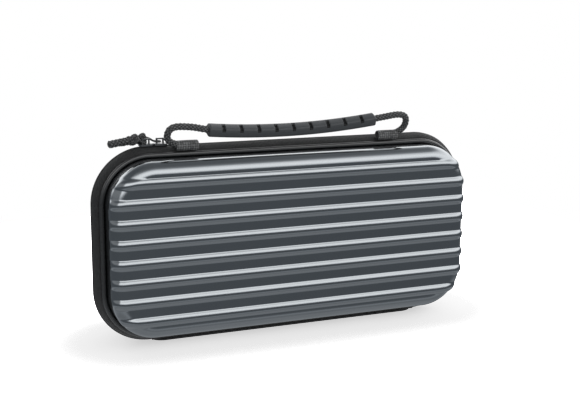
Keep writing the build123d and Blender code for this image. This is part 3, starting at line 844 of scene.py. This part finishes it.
@dataclass(frozen=True)
class ZipRim:
    """One half of the zip rim: domed woven band, piping and a row of the coil."""

    half: Half
    dome: float = 10.15
    dome_centre: float = -3.65  # out from the shell's foot
    inner_dome: float = 8.15
    zip_edge: float = 0.45
    width: float = 7.0
    flange: float = 5.0
    flange_end: float = -3.6
    hinge_face: float = 5.2
    band_thick: float = 2.0
    fold: float = 0.22  # the tape's folded edge along the zip
    floor_gap: float = 0.06  # the lower corners stay this far over the hinge's axis
    piping: float = 1.5
    coil_pitch: float = 1.35
    coil_out: float = 3.36
    coil_forward: float = 1.15

    def section(self) -> tuple[np.ndarray, np.ndarray]:
        """Closed section of the band: outer dome with its folded edge, flange and inner dome."""
        a = np.linspace(self.zip_edge, self.width - 0.25, 26)
        n = self.dome_centre + np.sqrt(self.dome**2 - a**2)
        n = n + self.fold * np.exp(-(((a - 1.0) / 0.45) ** 2))
        edge = n[-1] + 0.02
        b = np.linspace(self.flange, self.zip_edge, 10)
        m = self.dome_centre + np.sqrt(self.inner_dome**2 - b**2)
        out = np.concatenate([n, [edge - 0.35, edge - 0.8, self.flange_end, self.flange_end], m])
        forward = np.concatenate([a, [self.width - 0.06, self.width, self.width, self.flange], b])
        return out, forward

    def band(self) -> bpy.types.Object:
        """The woven band round the top and sides, with its flat run along the hinge."""
        out, forward = self.section()
        centres, normals, along = OUTLINE.trace(Run.OVER_TOP, 40, 12, 30)
        ring = OUTLINE.band(centres, normals, out, forward, self.half)
        ring[..., 2] = np.maximum(ring[..., 2], self.floor_gap)
        across = lengths_along(np.stack([out, forward], axis=-1))
        across = np.append(across, across[-1] + self.band_thick)
        around = Patch(capped(ring), uv_grid(doubled_ends(along), across), wrap_v=True)
        low, inner_face = OUTLINE.middle - OUTLINE.half_height, self.hinge_face - self.band_thick
        n = np.repeat([self.hinge_face, self.flange_end, inner_face], 2)
        a = np.array([self.zip_edge, self.width, self.width, self.flange, self.flange, self.zip_edge])
        corner_x = OUTLINE.half_width - OUTLINE.corner
        x = np.linspace(-corner_x, corner_x, 20)
        bar = np.stack(np.broadcast_arrays(x[:, None], self.half.value * a, low - n), axis=-1)
        hinge = Patch(capped(bar), uv_grid(doubled_ends(x), np.linspace(0.0, 30.0, 7)), wrap_v=True)
        return mesh_piece(f"{self.half.body}_rim_band", [around, hinge], sharp=40.0)

    def cord(self) -> bpy.types.Object:
        """Piping: a circle carried all round the outline."""
        turn = np.linspace(0.0, 2 * pi, 20, endpoint=False)
        out = 0.1 + self.piping + self.piping * np.cos(turn)
        forward = self.width + 0.1 + self.piping + self.piping * np.sin(turn)
        centres, normals, along = OUTLINE.trace(Run.ALL_ROUND, 48, 16, 48)
        ring = OUTLINE.band(centres, normals, out, forward, self.half)
        uv = uv_grid(along, np.linspace(0.0, 2 * pi * self.piping, 21))
        return mesh_piece(f"{self.half.body}_piping_cord", [Patch(ring, uv, wrap_u=True, wrap_v=True)])

    def coil(self) -> bpy.types.Object:
        """A row of the zip coil: a helix of thread round the line at the tape's edge.

        The thread's middle goes round an ellipse of 0.52 by 0.5 mm once in each pitch.
        """
        centres, normals, along = OUTLINE.trace(Run.OVER_TOP, 60, 60, 200)
        turns = int(along[-1] / self.coil_pitch)
        even = np.linspace(0.0, along[-1], turns * 8)
        cx, cz = (np.interp(even, along, centres[:, k]) for k in range(2))
        nx, nz = (np.interp(even, along, normals[:, k]) for k in range(2))
        phase = 2 * pi * even / self.coil_pitch + (0 if self.half is Half.LID else pi)
        out = OUTLINE.corner + self.coil_out + 0.5 * np.sin(phase)
        forward = self.half.value * (self.coil_forward + 0.42 * np.cos(phase))
        line = np.stack([cx + out * nx, forward, cz + out * nz], axis=-1)
        sine, cosine = np.sin(phase), np.cos(phase)
        reference = np.stack([nx * sine, self.half.value * cosine, nz * sine], axis=-1)
        tube = Braid(strands=1, pitch=1e9, relief=0.0, sides=5)
        radius = rounded_ends(even, 0.27, 0.0, 0.0)
        return mesh_piece(f"{self.half.body}_coil_row", [tube.tube(line, reference, radius)])

    def build(self) -> list[bpy.types.Object]:
        """All three pieces of this half, dressed."""
        body = self.half.body
        return [
            dress(self.band(), RIM_CLOTH.make(f"{body}_rim_cloth"), "rim_fabric", body, f"{body}_rim"),
            dress(self.cord(), PIPING_VINYL.make(f"{body}_piping_vinyl"), "piping", body, f"{body}_piping"),
            dress(self.coil(), COIL_NYLON.make(f"{body}_coil_nylon"), "zip_coil", body, f"{body}_zip_coil"),
        ]


@dataclass(frozen=True)
class HingeStrip:
    """Woven strip along the bottom that joins the two halves at the hinge."""

    half_length: float = 98.9
    half_width: float = 7.9
    thick: float = 1.2
    end_round: float = 9.0

    def build(self) -> bpy.types.Object:
        """A flat bar with rounded long edges: a superellipse section carried along X, rounded at its ends."""
        turn = np.linspace(0.0, 2 * pi, 64, endpoint=False)
        y = self.half_width * bulge(np.cos(turn), 0.35)
        z = self.thick / 2 * (1 + bulge(np.sin(turn), 0.35))
        x = self.half_length * np.sin(np.linspace(-pi / 2, pi / 2, 90))
        near_end = np.clip((np.abs(x) - self.half_length + self.end_round) / self.end_round, 0.0, 1.0)
        scale = np.sqrt(1 - near_end**2)[:, None]
        height = self.thick / 2 + scale * (z - self.thick / 2)
        points = np.stack(np.broadcast_arrays(x[:, None], scale * y, height), axis=-1)
        uv = np.stack(np.broadcast_arrays(x[:, None], np.append(y, y[0])[None, :]), axis=-1)
        strip = mesh_piece("woven_hinge_strip", [Patch(points, uv, wrap_v=True)], sharp=60.0)
        dress(strip, RIM_CLOTH.make("hinge_strip_cloth"), "rim_fabric", None, "hinge_spine")
        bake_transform(strip)
        return strip


# Rope handle


@dataclass(frozen=True)
class RopeHandle:
    """Braided rope through a moulded grip, its ends sewn into two webbing tabs."""

    lean: float = 25.0
    forward: float = 7.4
    height: float = 131.2328
    rope: float = 2.3
    slope: float = 0.022  # how much higher the handle hangs toward its right end
    sag: float = 0.4
    squeeze: float = 0.9  # how much the grip presses the rope together
    route: tuple[tuple[float, float], ...] = (
        (-67.0, 0.0), (-87.0, 0.0), (-88.0, 17.5), (-72.0, 16.5), (-60.5, 13.0), (-20.0, 8.8),
        (20.0, 8.8), (60.5, 13.0), (86.5, 17.0), (86.0, 0.0), (67.0, 0.0),
    )
    grip_end: float = 60.5
    grip_low: float = 9.0
    grip_curve: float = 459.53
    grip_depth: float = 4.2  # half sizes of the section
    grip_height: float = 3.6
    grip_round: float = 2.2
    grip_end_round: float = 1.3
    slots: int = 9
    slot_pitch: float = 12.6
    slot_width: float = 2.4
    slot_depth: float = 1.25
    slot_slant: float = -6.0
    tab_in: float = 66.0
    tab_out: float = 81.0
    tab_radius: float = 3.1
    tab_thick: float = 1.0

    def place(self, x: np.ndarray, up: np.ndarray, out: np.ndarray) -> np.ndarray:
        """Points of the leaning handle plane: x along the case, up in the plane, out toward the front."""
        tilt = radians(self.lean)
        x, up, out = np.broadcast_arrays(x, up, out)
        up = up + np.clip(up / 4.0, 0.0, 1.0) * (self.slope * x - self.sag)
        y = -self.forward - up * sin(tilt) - out * cos(tilt)
        return np.stack([x, y, self.height + up * cos(tilt) - out * sin(tilt)], axis=-1)

    def rope_piece(self) -> bpy.types.Object:
        """The braided rope, a cord whose ends go back into the case.

        Returns:
            The rope.
        """
        route = np.array(self.route)
        line = nurbs_points("rope_route", self.place(route[:, 0], route[:, 1], 0.0), 0.3)
        across = np.array([0.0, -cos(radians(self.lean)), -sin(radians(self.lean))])
        along = lengths_along(line)
        radius = rounded_ends(along, self.rope + 0.1, 0.0, 0.0)
        radius = radius - self.squeeze * ease((self.grip_end - 3.0 - np.abs(line[:, 0])) / 3.0) * (radius > 0)
        braid = Braid(strands=6, pitch=2.6, relief=0.8, sides=60)
        piece = mesh_piece("braided_handle_rope", [braid.tube(line, across, radius)], sharp=180.0)
        dress(piece, ROPE_YARN.make("handle_rope_yarn"), "rope", "handle", "handle_rope")
        return piece

    def grip_piece(self) -> bpy.types.Object:
        """The grip: a rounded rectangle carried along a wide arc, with short slots across its top.

        A slot takes the top down by its depth where |along - slot - out * tan(slant)| is under half its
        width, with soft edges, and stops short of the rear edge; the ends are rounded, and a bore for the
        rope closes the form.
        """
        sides, bore_steps = 96, 60
        half = asin(self.grip_end / self.grip_curve) * self.grip_curve
        soft = self.grip_end_round
        inner = np.linspace(-half, half, 560)
        inner = inner[np.abs(inner) < half - soft]
        lead = soft * (1 - np.cos(np.linspace(0, pi / 2, 7)))[:-1]
        along = np.concatenate([lead - half, inner, half - lead[::-1]])
        ends = np.clip((half - np.abs(along)) / soft, 0, 1)
        shrink = (1 - np.sqrt(1 - (1 - ends) ** 2))[:, None]
        turn = np.linspace(0.0, 2 * pi, sides, endpoint=False)
        square = np.stack([np.cos(turn), np.sin(turn)], axis=-1)
        straight = np.array([self.grip_depth, self.grip_height]) - self.grip_round
        section = straight * np.clip(1.5 * bulge(square, 0.6), -1, 1) + self.grip_round * square
        out, up = (section[None, :, k] - shrink * square[None, :, k] for k in range(2))
        place = along[:, None] - out * tan(radians(self.slot_slant))
        last = (self.slots - 1) / 2
        away = np.abs(place - np.clip(np.round(place / self.slot_pitch), -last, last) * self.slot_pitch)
        cut = 1 - ease((away - self.slot_width / 2 + 0.2) / 0.4)
        cut = cut * (ease((up - (self.grip_height - 2.4)) / 0.7) * ease((out + 2.6) / 0.9))
        bore = (self.rope - self.squeeze + 0.2) * np.broadcast_to(square, (bore_steps, sides, 2))
        along = np.concatenate([along, np.linspace(half, -half, bore_steps)])
        out = np.concatenate([out, bore[..., 0]])
        up = np.concatenate([up - self.slot_depth * cut, bore[..., 1]])
        angle, radius = along[:, None] / self.grip_curve, self.grip_curve - up
        rise = self.grip_low + self.grip_curve - radius * np.cos(angle)
        points = self.place(radius * np.sin(angle), rise, out)
        around = lengths_along(np.append(section, section[:1], axis=0))
        uv = uv_grid(np.append(along, along[0]), around)
        # relief share for the painted shade in the slots: 0 where the top is cut, 1 elsewhere and in the bore
        left = np.concatenate([1.0 - cut, np.ones((bore_steps, sides))])
        return mesh_piece("slotted_grip", [Patch(points, uv, True, True, left)], sharp=75.0)

    def tab_piece(self, side: int) -> bpy.types.Object:
        """A webbing tab: a band that wraps the rope's end and is sewn to the rim at both its feet.

        The band's middle line is a circle round the rope from the rear foot over the top to the front foot;
        its section is a flat superellipse.

        Args:
            side: -1 for the left tab, 1 for the right one.

        Returns:
            The tab.
        """
        sweep = np.radians(np.linspace(-22.0, 262.0, 72)) - radians(30.0)
        turn = np.linspace(0.0, 2 * pi, 44, endpoint=False)
        wide = (self.tab_out - self.tab_in) / 2 * bulge(np.cos(turn), 0.3)
        radius = self.tab_radius + self.tab_thick / 2 * bulge(np.sin(turn), 0.45)[None, :]
        x = side * (self.tab_out + self.tab_in) / 2 + wide[None, :]
        y = -self.forward + radius * np.cos(sweep)[:, None]
        z = self.height + radius * np.sin(sweep)[:, None]
        points = capped(np.stack(np.broadcast_arrays(x, y, z), axis=-1))
        uv = uv_grid(self.tab_radius * doubled_ends(sweep), np.append(wide, wide[0]))
        name = f"webbing_tab_{'left' if side < 0 else 'right'}"
        return mesh_piece(name, [Patch(points, uv, wrap_v=True)], sharp=70.0)

    def build(self) -> list[bpy.types.Object]:
        """Grip, rope and both tabs, dressed."""
        grip = dress(self.grip_piece(), GRIP_RUBBER.make("grip_rubber"), "grip", "handle", "handle_grip")
        webbing = TAB_WEBBING.make("tab_webbing")
        tabs = [
            dress(self.tab_piece(side), webbing, "webbing", "lid", f"handle_tab_{word}")
            for side, word in ((-1, "left"), (1, "right"))
        ]
        return [grip, self.rope_piece(), *tabs]


# Zip sliders and pulls


@dataclass(frozen=True)
class ZipPull:
    """A zip slider's knotted pull: a thin loop through the bail, a braided knot and a braided tail."""

    side: str
    centre: float
    reach: float
    aside: float
    rise: float
    tail: float
    case_height: float = 131.0
    bail_hole: float = 133.85
    spread: float = 1.7
    spread_at_knot: float = 0.8
    string: float = 0.65
    sink: float = 1.5
    knot: float = 8.0
    tail_radius: float = 2.6
    droop: float = 9.0

    def loop(self) -> bpy.types.Object:
        """The thin loop: a braided tube along a spline from the knot round the bail and back."""
        bend = self.centre - 2.3
        end = self.centre - self.reach - self.sink
        high = self.case_height + self.rise
        run = bend - end
        route = np.array(
            [
                (end, self.aside + self.spread_at_knot, high),
                (end + 0.4 * run, self.aside + self.spread_at_knot, high),
                (bend - 0.3 * run, self.spread, self.bail_hole),
                (bend + 1.5 * self.spread, 1.1 * self.spread, self.bail_hole),
                (bend + 1.5 * self.spread, -1.1 * self.spread, self.bail_hole),
                (bend - 0.3 * run, -self.spread, self.bail_hole),
                (end + 0.4 * run, self.aside - self.spread_at_knot, high),
                (end, self.aside - self.spread_at_knot, high),
            ]
        )
        line = nurbs_points(f"{self.side}_loop_route", route, 0.2)
        radius = rounded_ends(lengths_along(line), self.string, 0.0, 0.0)
        braid = Braid(strands=3, pitch=0.9, relief=0.16, sides=18)
        tube = braid.tube(line, np.array([0.0, 0.0, 1.0]), radius)
        return mesh_piece(f"{self.side}_pull_loop", [tube], sharp=180.0)

    def knot_and_tail(self) -> bpy.types.Object:
        """The knot and the tail on one drooping axis.

        The knot's cord follows a (2, 3) torus knot, stretched along the axis; the tail is a straight
        braided tube with a rounded end.
        """
        tilt = radians(self.droop)
        axis = np.array([-cos(tilt), 0.0, -sin(tilt)])
        up = np.array([-sin(tilt), 0.0, cos(tilt)])
        across = np.array([0.0, 1.0, 0.0])
        start = np.array([self.centre - self.reach, self.aside, self.case_height + self.rise])
        t = np.linspace(0.0, 2 * pi, 300)
        swing = 1.7 + 0.8 * np.cos(3 * t)
        deep = self.knot / 2 + 2.55 * np.sin(3 * t)
        middle = start + self.knot / 2 * axis
        line = (
            start
            + deep[:, None] * axis
            + (swing * np.cos(2 * t))[:, None] * across
            + (swing * np.sin(2 * t))[:, None] * up
        )
        outward = unit(line - middle - ((line - middle) @ axis)[:, None] * axis)
        wrap = Braid(strands=4, pitch=1.7, relief=0.45, sides=32)
        knot = wrap.tube(line, outward, np.full(len(line), 1.45), closed=True)
        deep = np.linspace(self.knot - 4.5, self.knot + self.tail, 90)
        stem = start + deep[:, None] * axis
        radius = rounded_ends(deep - deep[0], self.tail_radius, 1.5, 1.6)
        plait = Braid(strands=5, pitch=2.5, relief=0.75, sides=50)
        return mesh_piece(f"{self.side}_pull_knot", [knot, plait.tube(stem, up, radius)], sharp=180.0)

    def build(self) -> list[bpy.types.Object]:
        """Loop and knot, dressed."""
        yarn = PULL_YARN.make(f"{self.side}_pull_yarn")
        body = f"pull_{self.side}"
        return [
            dress(self.loop(), yarn, "pull_cord", body, f"pull_string_{self.side}"),
            dress(self.knot_and_tail(), yarn, "pull_cord", body, f"pull_cord_{self.side}"),
        ]


# Inside


@dataclass(frozen=True)
class ConsoleStrap:
    """Hook and loop strap across the tray, of flat webbing."""

    half_width: float = 19.0
    thick: float = 1.3
    leg: float = 18.2
    low: float = 10.59
    high: float = 120.41
    loop_face: float = 7.9
    loop_top: float = 82.59
    hook_face: float = 6.5
    lap_start: float = 66.59

    def ribbon(self, name: str, corner: tuple[float, float], leg_end: float, tip: float) -> bpy.types.Object:
        """A flat band bent once: along its leg, round a small arc and over the tray to a rounded tip.

        Args:
            name: name of the piece.
            corner: y and z of the bend on the band's middle line.
            leg_end: y of the leg's end.
            tip: z of the free end.

        Returns:
            The band.
        """
        up = 1.0 if tip > corner[1] else -1.0
        bend = 1.6
        turn = np.linspace(0.0, pi / 2, 14)
        round_y = corner[0] + bend - bend * np.sin(turn)
        y = np.concatenate([[leg_end, leg_end], round_y, np.full(41, corner[0])])
        z = np.concatenate(
            [
                [corner[1], corner[1]],
                corner[1] + up * (bend - bend * np.cos(turn)),
                np.linspace(corner[1] + up * (bend + 1.0), tip, 40),
                [tip],
            ]
        )
        line = np.stack([np.zeros(len(y)), y, z], axis=-1)
        along = lengths_along(line)
        crosswise = np.array([1.0, 0.0, 0.0])
        out = np.cross(unit(np.gradient(line + 1e-7 * np.arange(len(y))[:, None], axis=0)), crosswise)
        around = np.linspace(0.0, 2 * pi, 48, endpoint=False)
        wide = self.half_width * bulge(np.cos(around), 0.25)
        deep = self.thick / 2 * bulge(np.sin(around), 0.4)
        near_tip = np.clip((along[-1] - along) / 6.0, 0.0, 1.0)
        narrow = 0.72 + 0.28 * np.sqrt(1 - (1 - near_tip) ** 2)
        scale = np.ones(len(y))
        scale[[0, -1]] = 0.0
        points = (
            line[:, None]
            + (scale * narrow)[:, None, None] * wide[None, :, None] * crosswise
            + (scale[:, None] * deep[None, :])[..., None] * unit(out)[:, None]
        )
        uv = uv_grid(along, np.append(wide, wide[0]))
        return mesh_piece(name, [Patch(points, uv, wrap_v=True)], sharp=65.0)

    def build(self) -> list[bpy.types.Object]:
        """Both halves, dressed."""
        cloth = STRAP_CLOTH.make("strap_webbing")
        half = self.thick / 2
        loop_bend = (self.loop_face + half, self.low + half)
        hook_bend = (self.hook_face + half, self.high - half)
        loop = self.ribbon("strap_loop_half", loop_bend, self.leg, self.loop_top)
        hook = self.ribbon("strap_hook_half", hook_bend, self.leg, self.lap_start)
        return [
            dress(loop, cloth, "strap", "base", "strap_loop"),
            dress(hook, cloth, "strap", "base", "strap_hook"),
        ]


@dataclass(frozen=True)
class LidPocket:
    """Fabric pocket of the lid with its bound hem and a pleated screen pad."""

    inset: float = 3.84
    low: float = 10.34
    top: float = 76.34
    face: float = 9.1
    thick: float = 0.8
    hem: float = 7.0
    hem_thick: float = 1.8
    pad_half: float = 75.0
    pad_low: float = 16.34
    pad_top: float = 66.34
    pad_corner: float = 16.0
    pad_face: float = 6.4
    pleats: int = 6
    pleat_width: float = 14.0
    pleat_rise: float = 1.9

    def half_width(self, z: np.ndarray) -> np.ndarray:
        """Half width of the panel at a height: straight sides with the outline's lower corners."""
        corner = OUTLINE.corner - self.inset
        centre = OUTLINE.middle - OUTLINE.half_height + OUTLINE.corner
        fall = np.clip(centre - z, 0.0, corner - 1e-6)
        return OUTLINE.half_width - OUTLINE.corner + np.sqrt(corner**2 - fall**2)

    def panel(self) -> bpy.types.Object:
        """The panel: two skins over the same rows, slack by a fifth of a millimetre between its seams."""
        low = self.low + (self.top - self.low) * (1 - np.cos(np.linspace(0, pi / 2, 40)))
        share = np.linspace(-1.0, 1.0, 70)
        x = share[None, :] * self.half_width(low)[:, None]
        z = np.broadcast_to(low[:, None], x.shape)
        slack = 0.18 * np.sin(x * 0.11) * np.sin((z - self.low) * 0.1) * (1 - share[None, :] ** 2)
        front = np.stack([x, -self.face - 0.06 + slack, z], axis=-1)
        back = np.stack([x, -self.face - self.thick + 0.1 + slack, z], axis=-1)
        loop = np.concatenate([front, back[:, ::-1]], axis=1)
        uv = np.stack([loop[..., 0], loop[..., 2]], axis=-1)
        uv = np.concatenate([uv, uv[:, :1]], axis=1)
        lid_low = np.stack([loop[0, :70], loop[0, 70:][::-1]], axis=0)
        lid_top = np.stack([loop[-1, :70], loop[-1, 70:][::-1]], axis=0)
        caps = [Patch(cap, np.stack([cap[..., 0], cap[..., 2]], -1)) for cap in (lid_low, lid_top)]
        return mesh_piece("lid_pocket_panel", [Patch(loop, uv, wrap_v=True), *caps], sharp=60.0)

    def binding(self) -> bpy.types.Object:
        """The hem: a rounded band along the pocket's edge, gathered in fine ripples by its elastic."""
        x = np.linspace(-125.5, 125.5, 420)
        turn = np.linspace(0.0, 2 * pi, 32, endpoint=False)
        high = self.hem / 2 * bulge(np.sin(turn), 0.7)
        deep = self.hem_thick / 2 * bulge(np.cos(turn), 0.8)
        ripple = 1 - 0.16 * (0.5 + 0.5 * np.sin(x * 2 * pi / 2.4 + 0.9 * np.sin(x * 0.7)))
        scale = np.ones(len(x))
        scale[[0, -1]] = 0.0
        points = np.stack(
            [
                np.broadcast_to(x[:, None], (len(x), 32)),
                -self.face - self.thick / 2 + (scale * ripple)[:, None] * deep,
                self.top + 0.1 + self.hem / 2 + scale[:, None] * high,
            ],
            axis=-1,
        )
        around = lengths_along(np.append(np.stack([deep, high], -1), [[deep[0], high[0]]], axis=0))
        return mesh_piece("pocket_hem_binding", [Patch(points, uv_grid(x, around), wrap_v=True)], sharp=70.0)

    def pad(self) -> bpy.types.Object:
        """The pad: rows of a round-topped outline, crowned, with knife pleats that rise from left to right.

        Its face stands over the pocket by the pad's thickness times a quarter ellipse at the edge, plus the
        pleat's saw tooth with a soft fold.
        """
        z = self.pad_low + (self.pad_top - self.pad_low) * (1 - np.cos(np.linspace(0, pi, 60))) / 2
        fall = np.clip(z - (self.pad_top - self.pad_corner), 0.0, self.pad_corner - 1e-6)
        half = self.pad_half - self.pad_corner + np.sqrt(self.pad_corner**2 - fall**2)
        share = np.sin(np.linspace(-pi / 2, pi / 2, 300))
        x = share[None, :] * half[:, None]
        zz = np.broadcast_to(z[:, None], x.shape)
        edge = np.minimum(half[:, None] - np.abs(x), np.minimum(zz - self.pad_low, self.pad_top - zz))
        crown = np.sqrt(1 - (1 - np.clip(edge / 2.6, 0, 1)) ** 2)
        reach = self.pleats * self.pleat_width / 2
        within = ease((reach + 0.2 - np.abs(x)) / 0.6) * crown
        tooth = ((x + reach) / self.pleat_width) % 1.0
        fold = tooth**1.3 * (1 - ease((tooth - 0.965) / 0.035))
        face = self.face - 0.1 - (self.face - 0.1 - self.pad_face) * crown - self.pleat_rise * fold * within
        front = np.stack([x, -face, zz], axis=-1)
        back = np.stack([x, np.full(x.shape, -self.face + 0.1), zz], axis=-1)
        uv = np.stack([x, zz], axis=-1)
        return mesh_piece("pleated_screen_pad", [Patch(front, uv), Patch(back, uv)], sharp=60.0)

    def build(self) -> list[bpy.types.Object]:
        """Panel, hem and pad, dressed."""
        hem = dress(self.binding(), HEM_CLOTH.make("hem_binding_cloth"), "hem", "lid", "pocket_hem")
        pad = dress(self.pad(), PAD_CLOTH.make("pad_cloth"), "pad", "lid", "lid_pad")
        panel = dress(self.panel(), POCKET_CLOTH.make("pocket_cloth"), "pocket", "lid", "lid_pocket")
        return [hem, pad, panel]


# Studio


@dataclass(frozen=True)
class Studio:
    """Pale floor, soft lights and the camera at the photograph's angle."""

    camera: tuple[float, float, float] = (-0.2793, -0.6724, 0.2345)
    azimuth: float = 22.79
    fall: float = 11.605
    lens: float = 66.38
    roll: float = 0.4
    shift: float = 0.0028
    peak: float = 2.0
    wing: tuple[float, float, float] = (0.62, 0.8, 0.85)  # a dark wing on the left: start, end, share
    floor_fade: tuple[float, float] = (0.035, 0.13)  # metres from the case's middle line
    floor_straight: float = 0.11  # half length of that line
    bands: tuple[tuple[float, float, float], ...] = (  # sine of the height, level, tint to blue
        (-1.0, 0.38, 0.05), (-0.84, 0.4, 0.05), (-0.7, 0.3, 0.06), (-0.52, 0.46, 0.06), (-0.4, 0.2, 0.08),
        (-0.3, 0.16, 0.1), (0.04, 0.155, 0.1), (0.15, 1.1, 0.03), (0.22, 1.75, 0.01), (0.45, 2.0, 0.0),
        (0.64, 1.5, 0.01), (0.77, 0.45, 0.04), (0.9, 0.22, 0.06), (1.0, 0.2, 0.06),
    )

    def floor(self) -> bpy.types.Object:
        """A flat sheet just under the case that fades into the white backdrop with the distance."""
        x = np.linspace(-400.0, 400.0, 3)
        grid = np.stack(np.meshgrid(x, x, [-0.3], indexing="ij"), axis=-1)[:, :, 0]
        sheet = mesh_piece("studio_floor", [Patch(grid, uv_grid(x, x))])
        material, bench, shader = new_material("studio_floor_white")
        place = bench.add("ShaderNodeSeparateXYZ", {0: bench.add("ShaderNodeTexCoord").outputs["Object"]})
        past = bench.math("SUBTRACT", bench.math("ABSOLUTE", place.outputs[0]), self.floor_straight)
        ways = (bench.math("MAXIMUM", past, 0.0), place.outputs[1])
        away = bench.math("SQRT", bench.math("ADD", *(bench.math("POWER", way, 2.0) for way in ways)))
        near, far = self.floor_fade
        fade = bench.add(
            "ShaderNodeMapRange",
            {"Value": away, "From Min": near, "From Max": far, "To Min": 1.0, "To Max": 0.0},
            interpolation_type="SMOOTHSTEP",
        )
        bench.links.new(fade.outputs[0], shader.inputs["Alpha"])
        shader.inputs["Base Color"].default_value = shade(0.85)
        shader.inputs["Roughness"].default_value = 0.9
        shader.inputs["Emission Color"].default_value = shade(1.0)
        shader.inputs["Emission Strength"].default_value = 0.8
        sheet.data.materials.append(material)
        sheet.is_shadow_catcher = True
        sheet.visible_glossy = False
        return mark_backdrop(sheet)

    def surround(self) -> None:
        """Soft light by height: a bright band over the horizon with a wing on its left, dim at eye level.

        The backdrop itself is plain white, so only the light that falls on the case has the bands.
        """
        world = bpy.data.worlds.new("studio_surround")
        world.use_nodes = True
        bench = Bench(world.node_tree)
        way = bench.add("ShaderNodeTexCoord").outputs["Generated"]
        parts = bench.add("ShaderNodeSeparateXYZ", {0: way})
        rise = parts.outputs[2]
        share = bench.math("MULTIPLY_ADD", rise, 0.5)
        share.node.inputs[2].default_value = 0.5
        ramp = bench.add("ShaderNodeValToRGB", {0: share})
        stops = ramp.color_ramp.elements
        stops.remove(stops[1])
        for height, level, tint in self.bands:
            stops.new(0.5 + height / 2).color = shade(level / self.peak, 1.0 - tint, 1.0, 1.0 + tint)
        stops.remove(stops[0])
        level = bench.math("SQRT", bench.math("SUBTRACT", 1.001, bench.math("MULTIPLY", rise, rise)))
        leftward = bench.math("DIVIDE", bench.math("MULTIPLY", parts.outputs[0], -1.0), level)
        wing = bench.add(
            "ShaderNodeMapRange",
            {"Value": leftward, "From Min": self.wing[0], "From Max": self.wing[1], "To Max": self.wing[2]},
            interpolation_type="SMOOTHSTEP",
        ).outputs[0]
        above = bench.math("GREATER_THAN", rise, 0.06)
        colour = bench.mix(bench.math("MULTIPLY", wing, above), ramp.outputs[0], shade(0.08, 0.9, 1.0, 1.1))
        ground = world.node_tree.nodes["Background"]
        bench.links.new(colour, ground.inputs["Color"])
        ground.inputs["Strength"].default_value = self.peak
        white = bench.add("ShaderNodeBackground", {"Color": shade(1.0), "Strength": 1.0})
        seen = bench.add("ShaderNodeLightPath").outputs["Is Camera Ray"]
        both = bench.add("ShaderNodeMixShader", {0: seen, 1: ground.outputs[0], 2: white.outputs[0]})
        bench.links.new(both.outputs[0], world.node_tree.nodes["World Output"].inputs["Surface"])
        bpy.context.scene.world = world

    def view(self) -> None:
        """The camera at the photograph's place, with its slight roll."""
        data = bpy.data.cameras.new("front_left_camera")
        data.lens, data.sensor_width = self.lens, 36.0
        data.shift_y = self.shift
        data.clip_start = 0.01
        camera = bpy.data.objects.new("front_left_camera", data)
        a, f = radians(self.azimuth), radians(self.fall)
        look = Vector((sin(a) * cos(f), cos(a) * cos(f), -sin(f)))
        turned = look.to_track_quat("-Z", "Y").to_matrix().to_4x4()
        roll = Matrix.Rotation(radians(self.roll), 4, "Z")
        camera.matrix_world = Matrix.Translation(self.camera) @ turned @ roll
        bpy.context.scene.collection.objects.link(camera)
        bpy.context.scene.camera = camera

    def build(self) -> None:
        """Camera, floor and the surrounding light."""
        self.view()
        self.floor()
        self.surround()
        bpy.context.scene.view_settings.view_transform = "Standard"


def carried_over() -> None:
    """Give the CAD nodes that stay in view their finishes."""
    finishes = {
        "lid_lining": LINING_FLEECE.make("lid_lining_fleece"),
        "base_lining": LINING_FLEECE.make("base_lining_fleece"),
        "inner_tray": TRAY_FLOCK.make("tray_flock"),
        "slider_left": SLIDER_METAL.make("left_slider_metal"),
        "slider_right": SLIDER_METAL.make("right_slider_metal"),
    }
    for node, material in finishes.items():
        shown = bpy.data.objects[node]
        shown.data.materials.clear()
        shown.data.materials.append(material)
        LOG.info("%s keeps its solid", node)


def main() -> None:
    """Build every sub-assembly in order."""
    logging.basicConfig(level=logging.INFO, format="%(name)s: %(message)s")
    Studio().build()
    RopeHandle().build()
    for half in Half:
        Shell(half).build()
        ZipRim(half).build()
    HingeStrip().build()
    ZipPull("left", -99.0, 4.6, -0.5, 5.4, 13.0).build()
    ZipPull("right", -89.5, 7.0, 6.4, 4.8, 11.0).build()
    ConsoleStrap().build()
    LidPocket().build()
    carried_over()


if __name__ == "__main__":
    main()
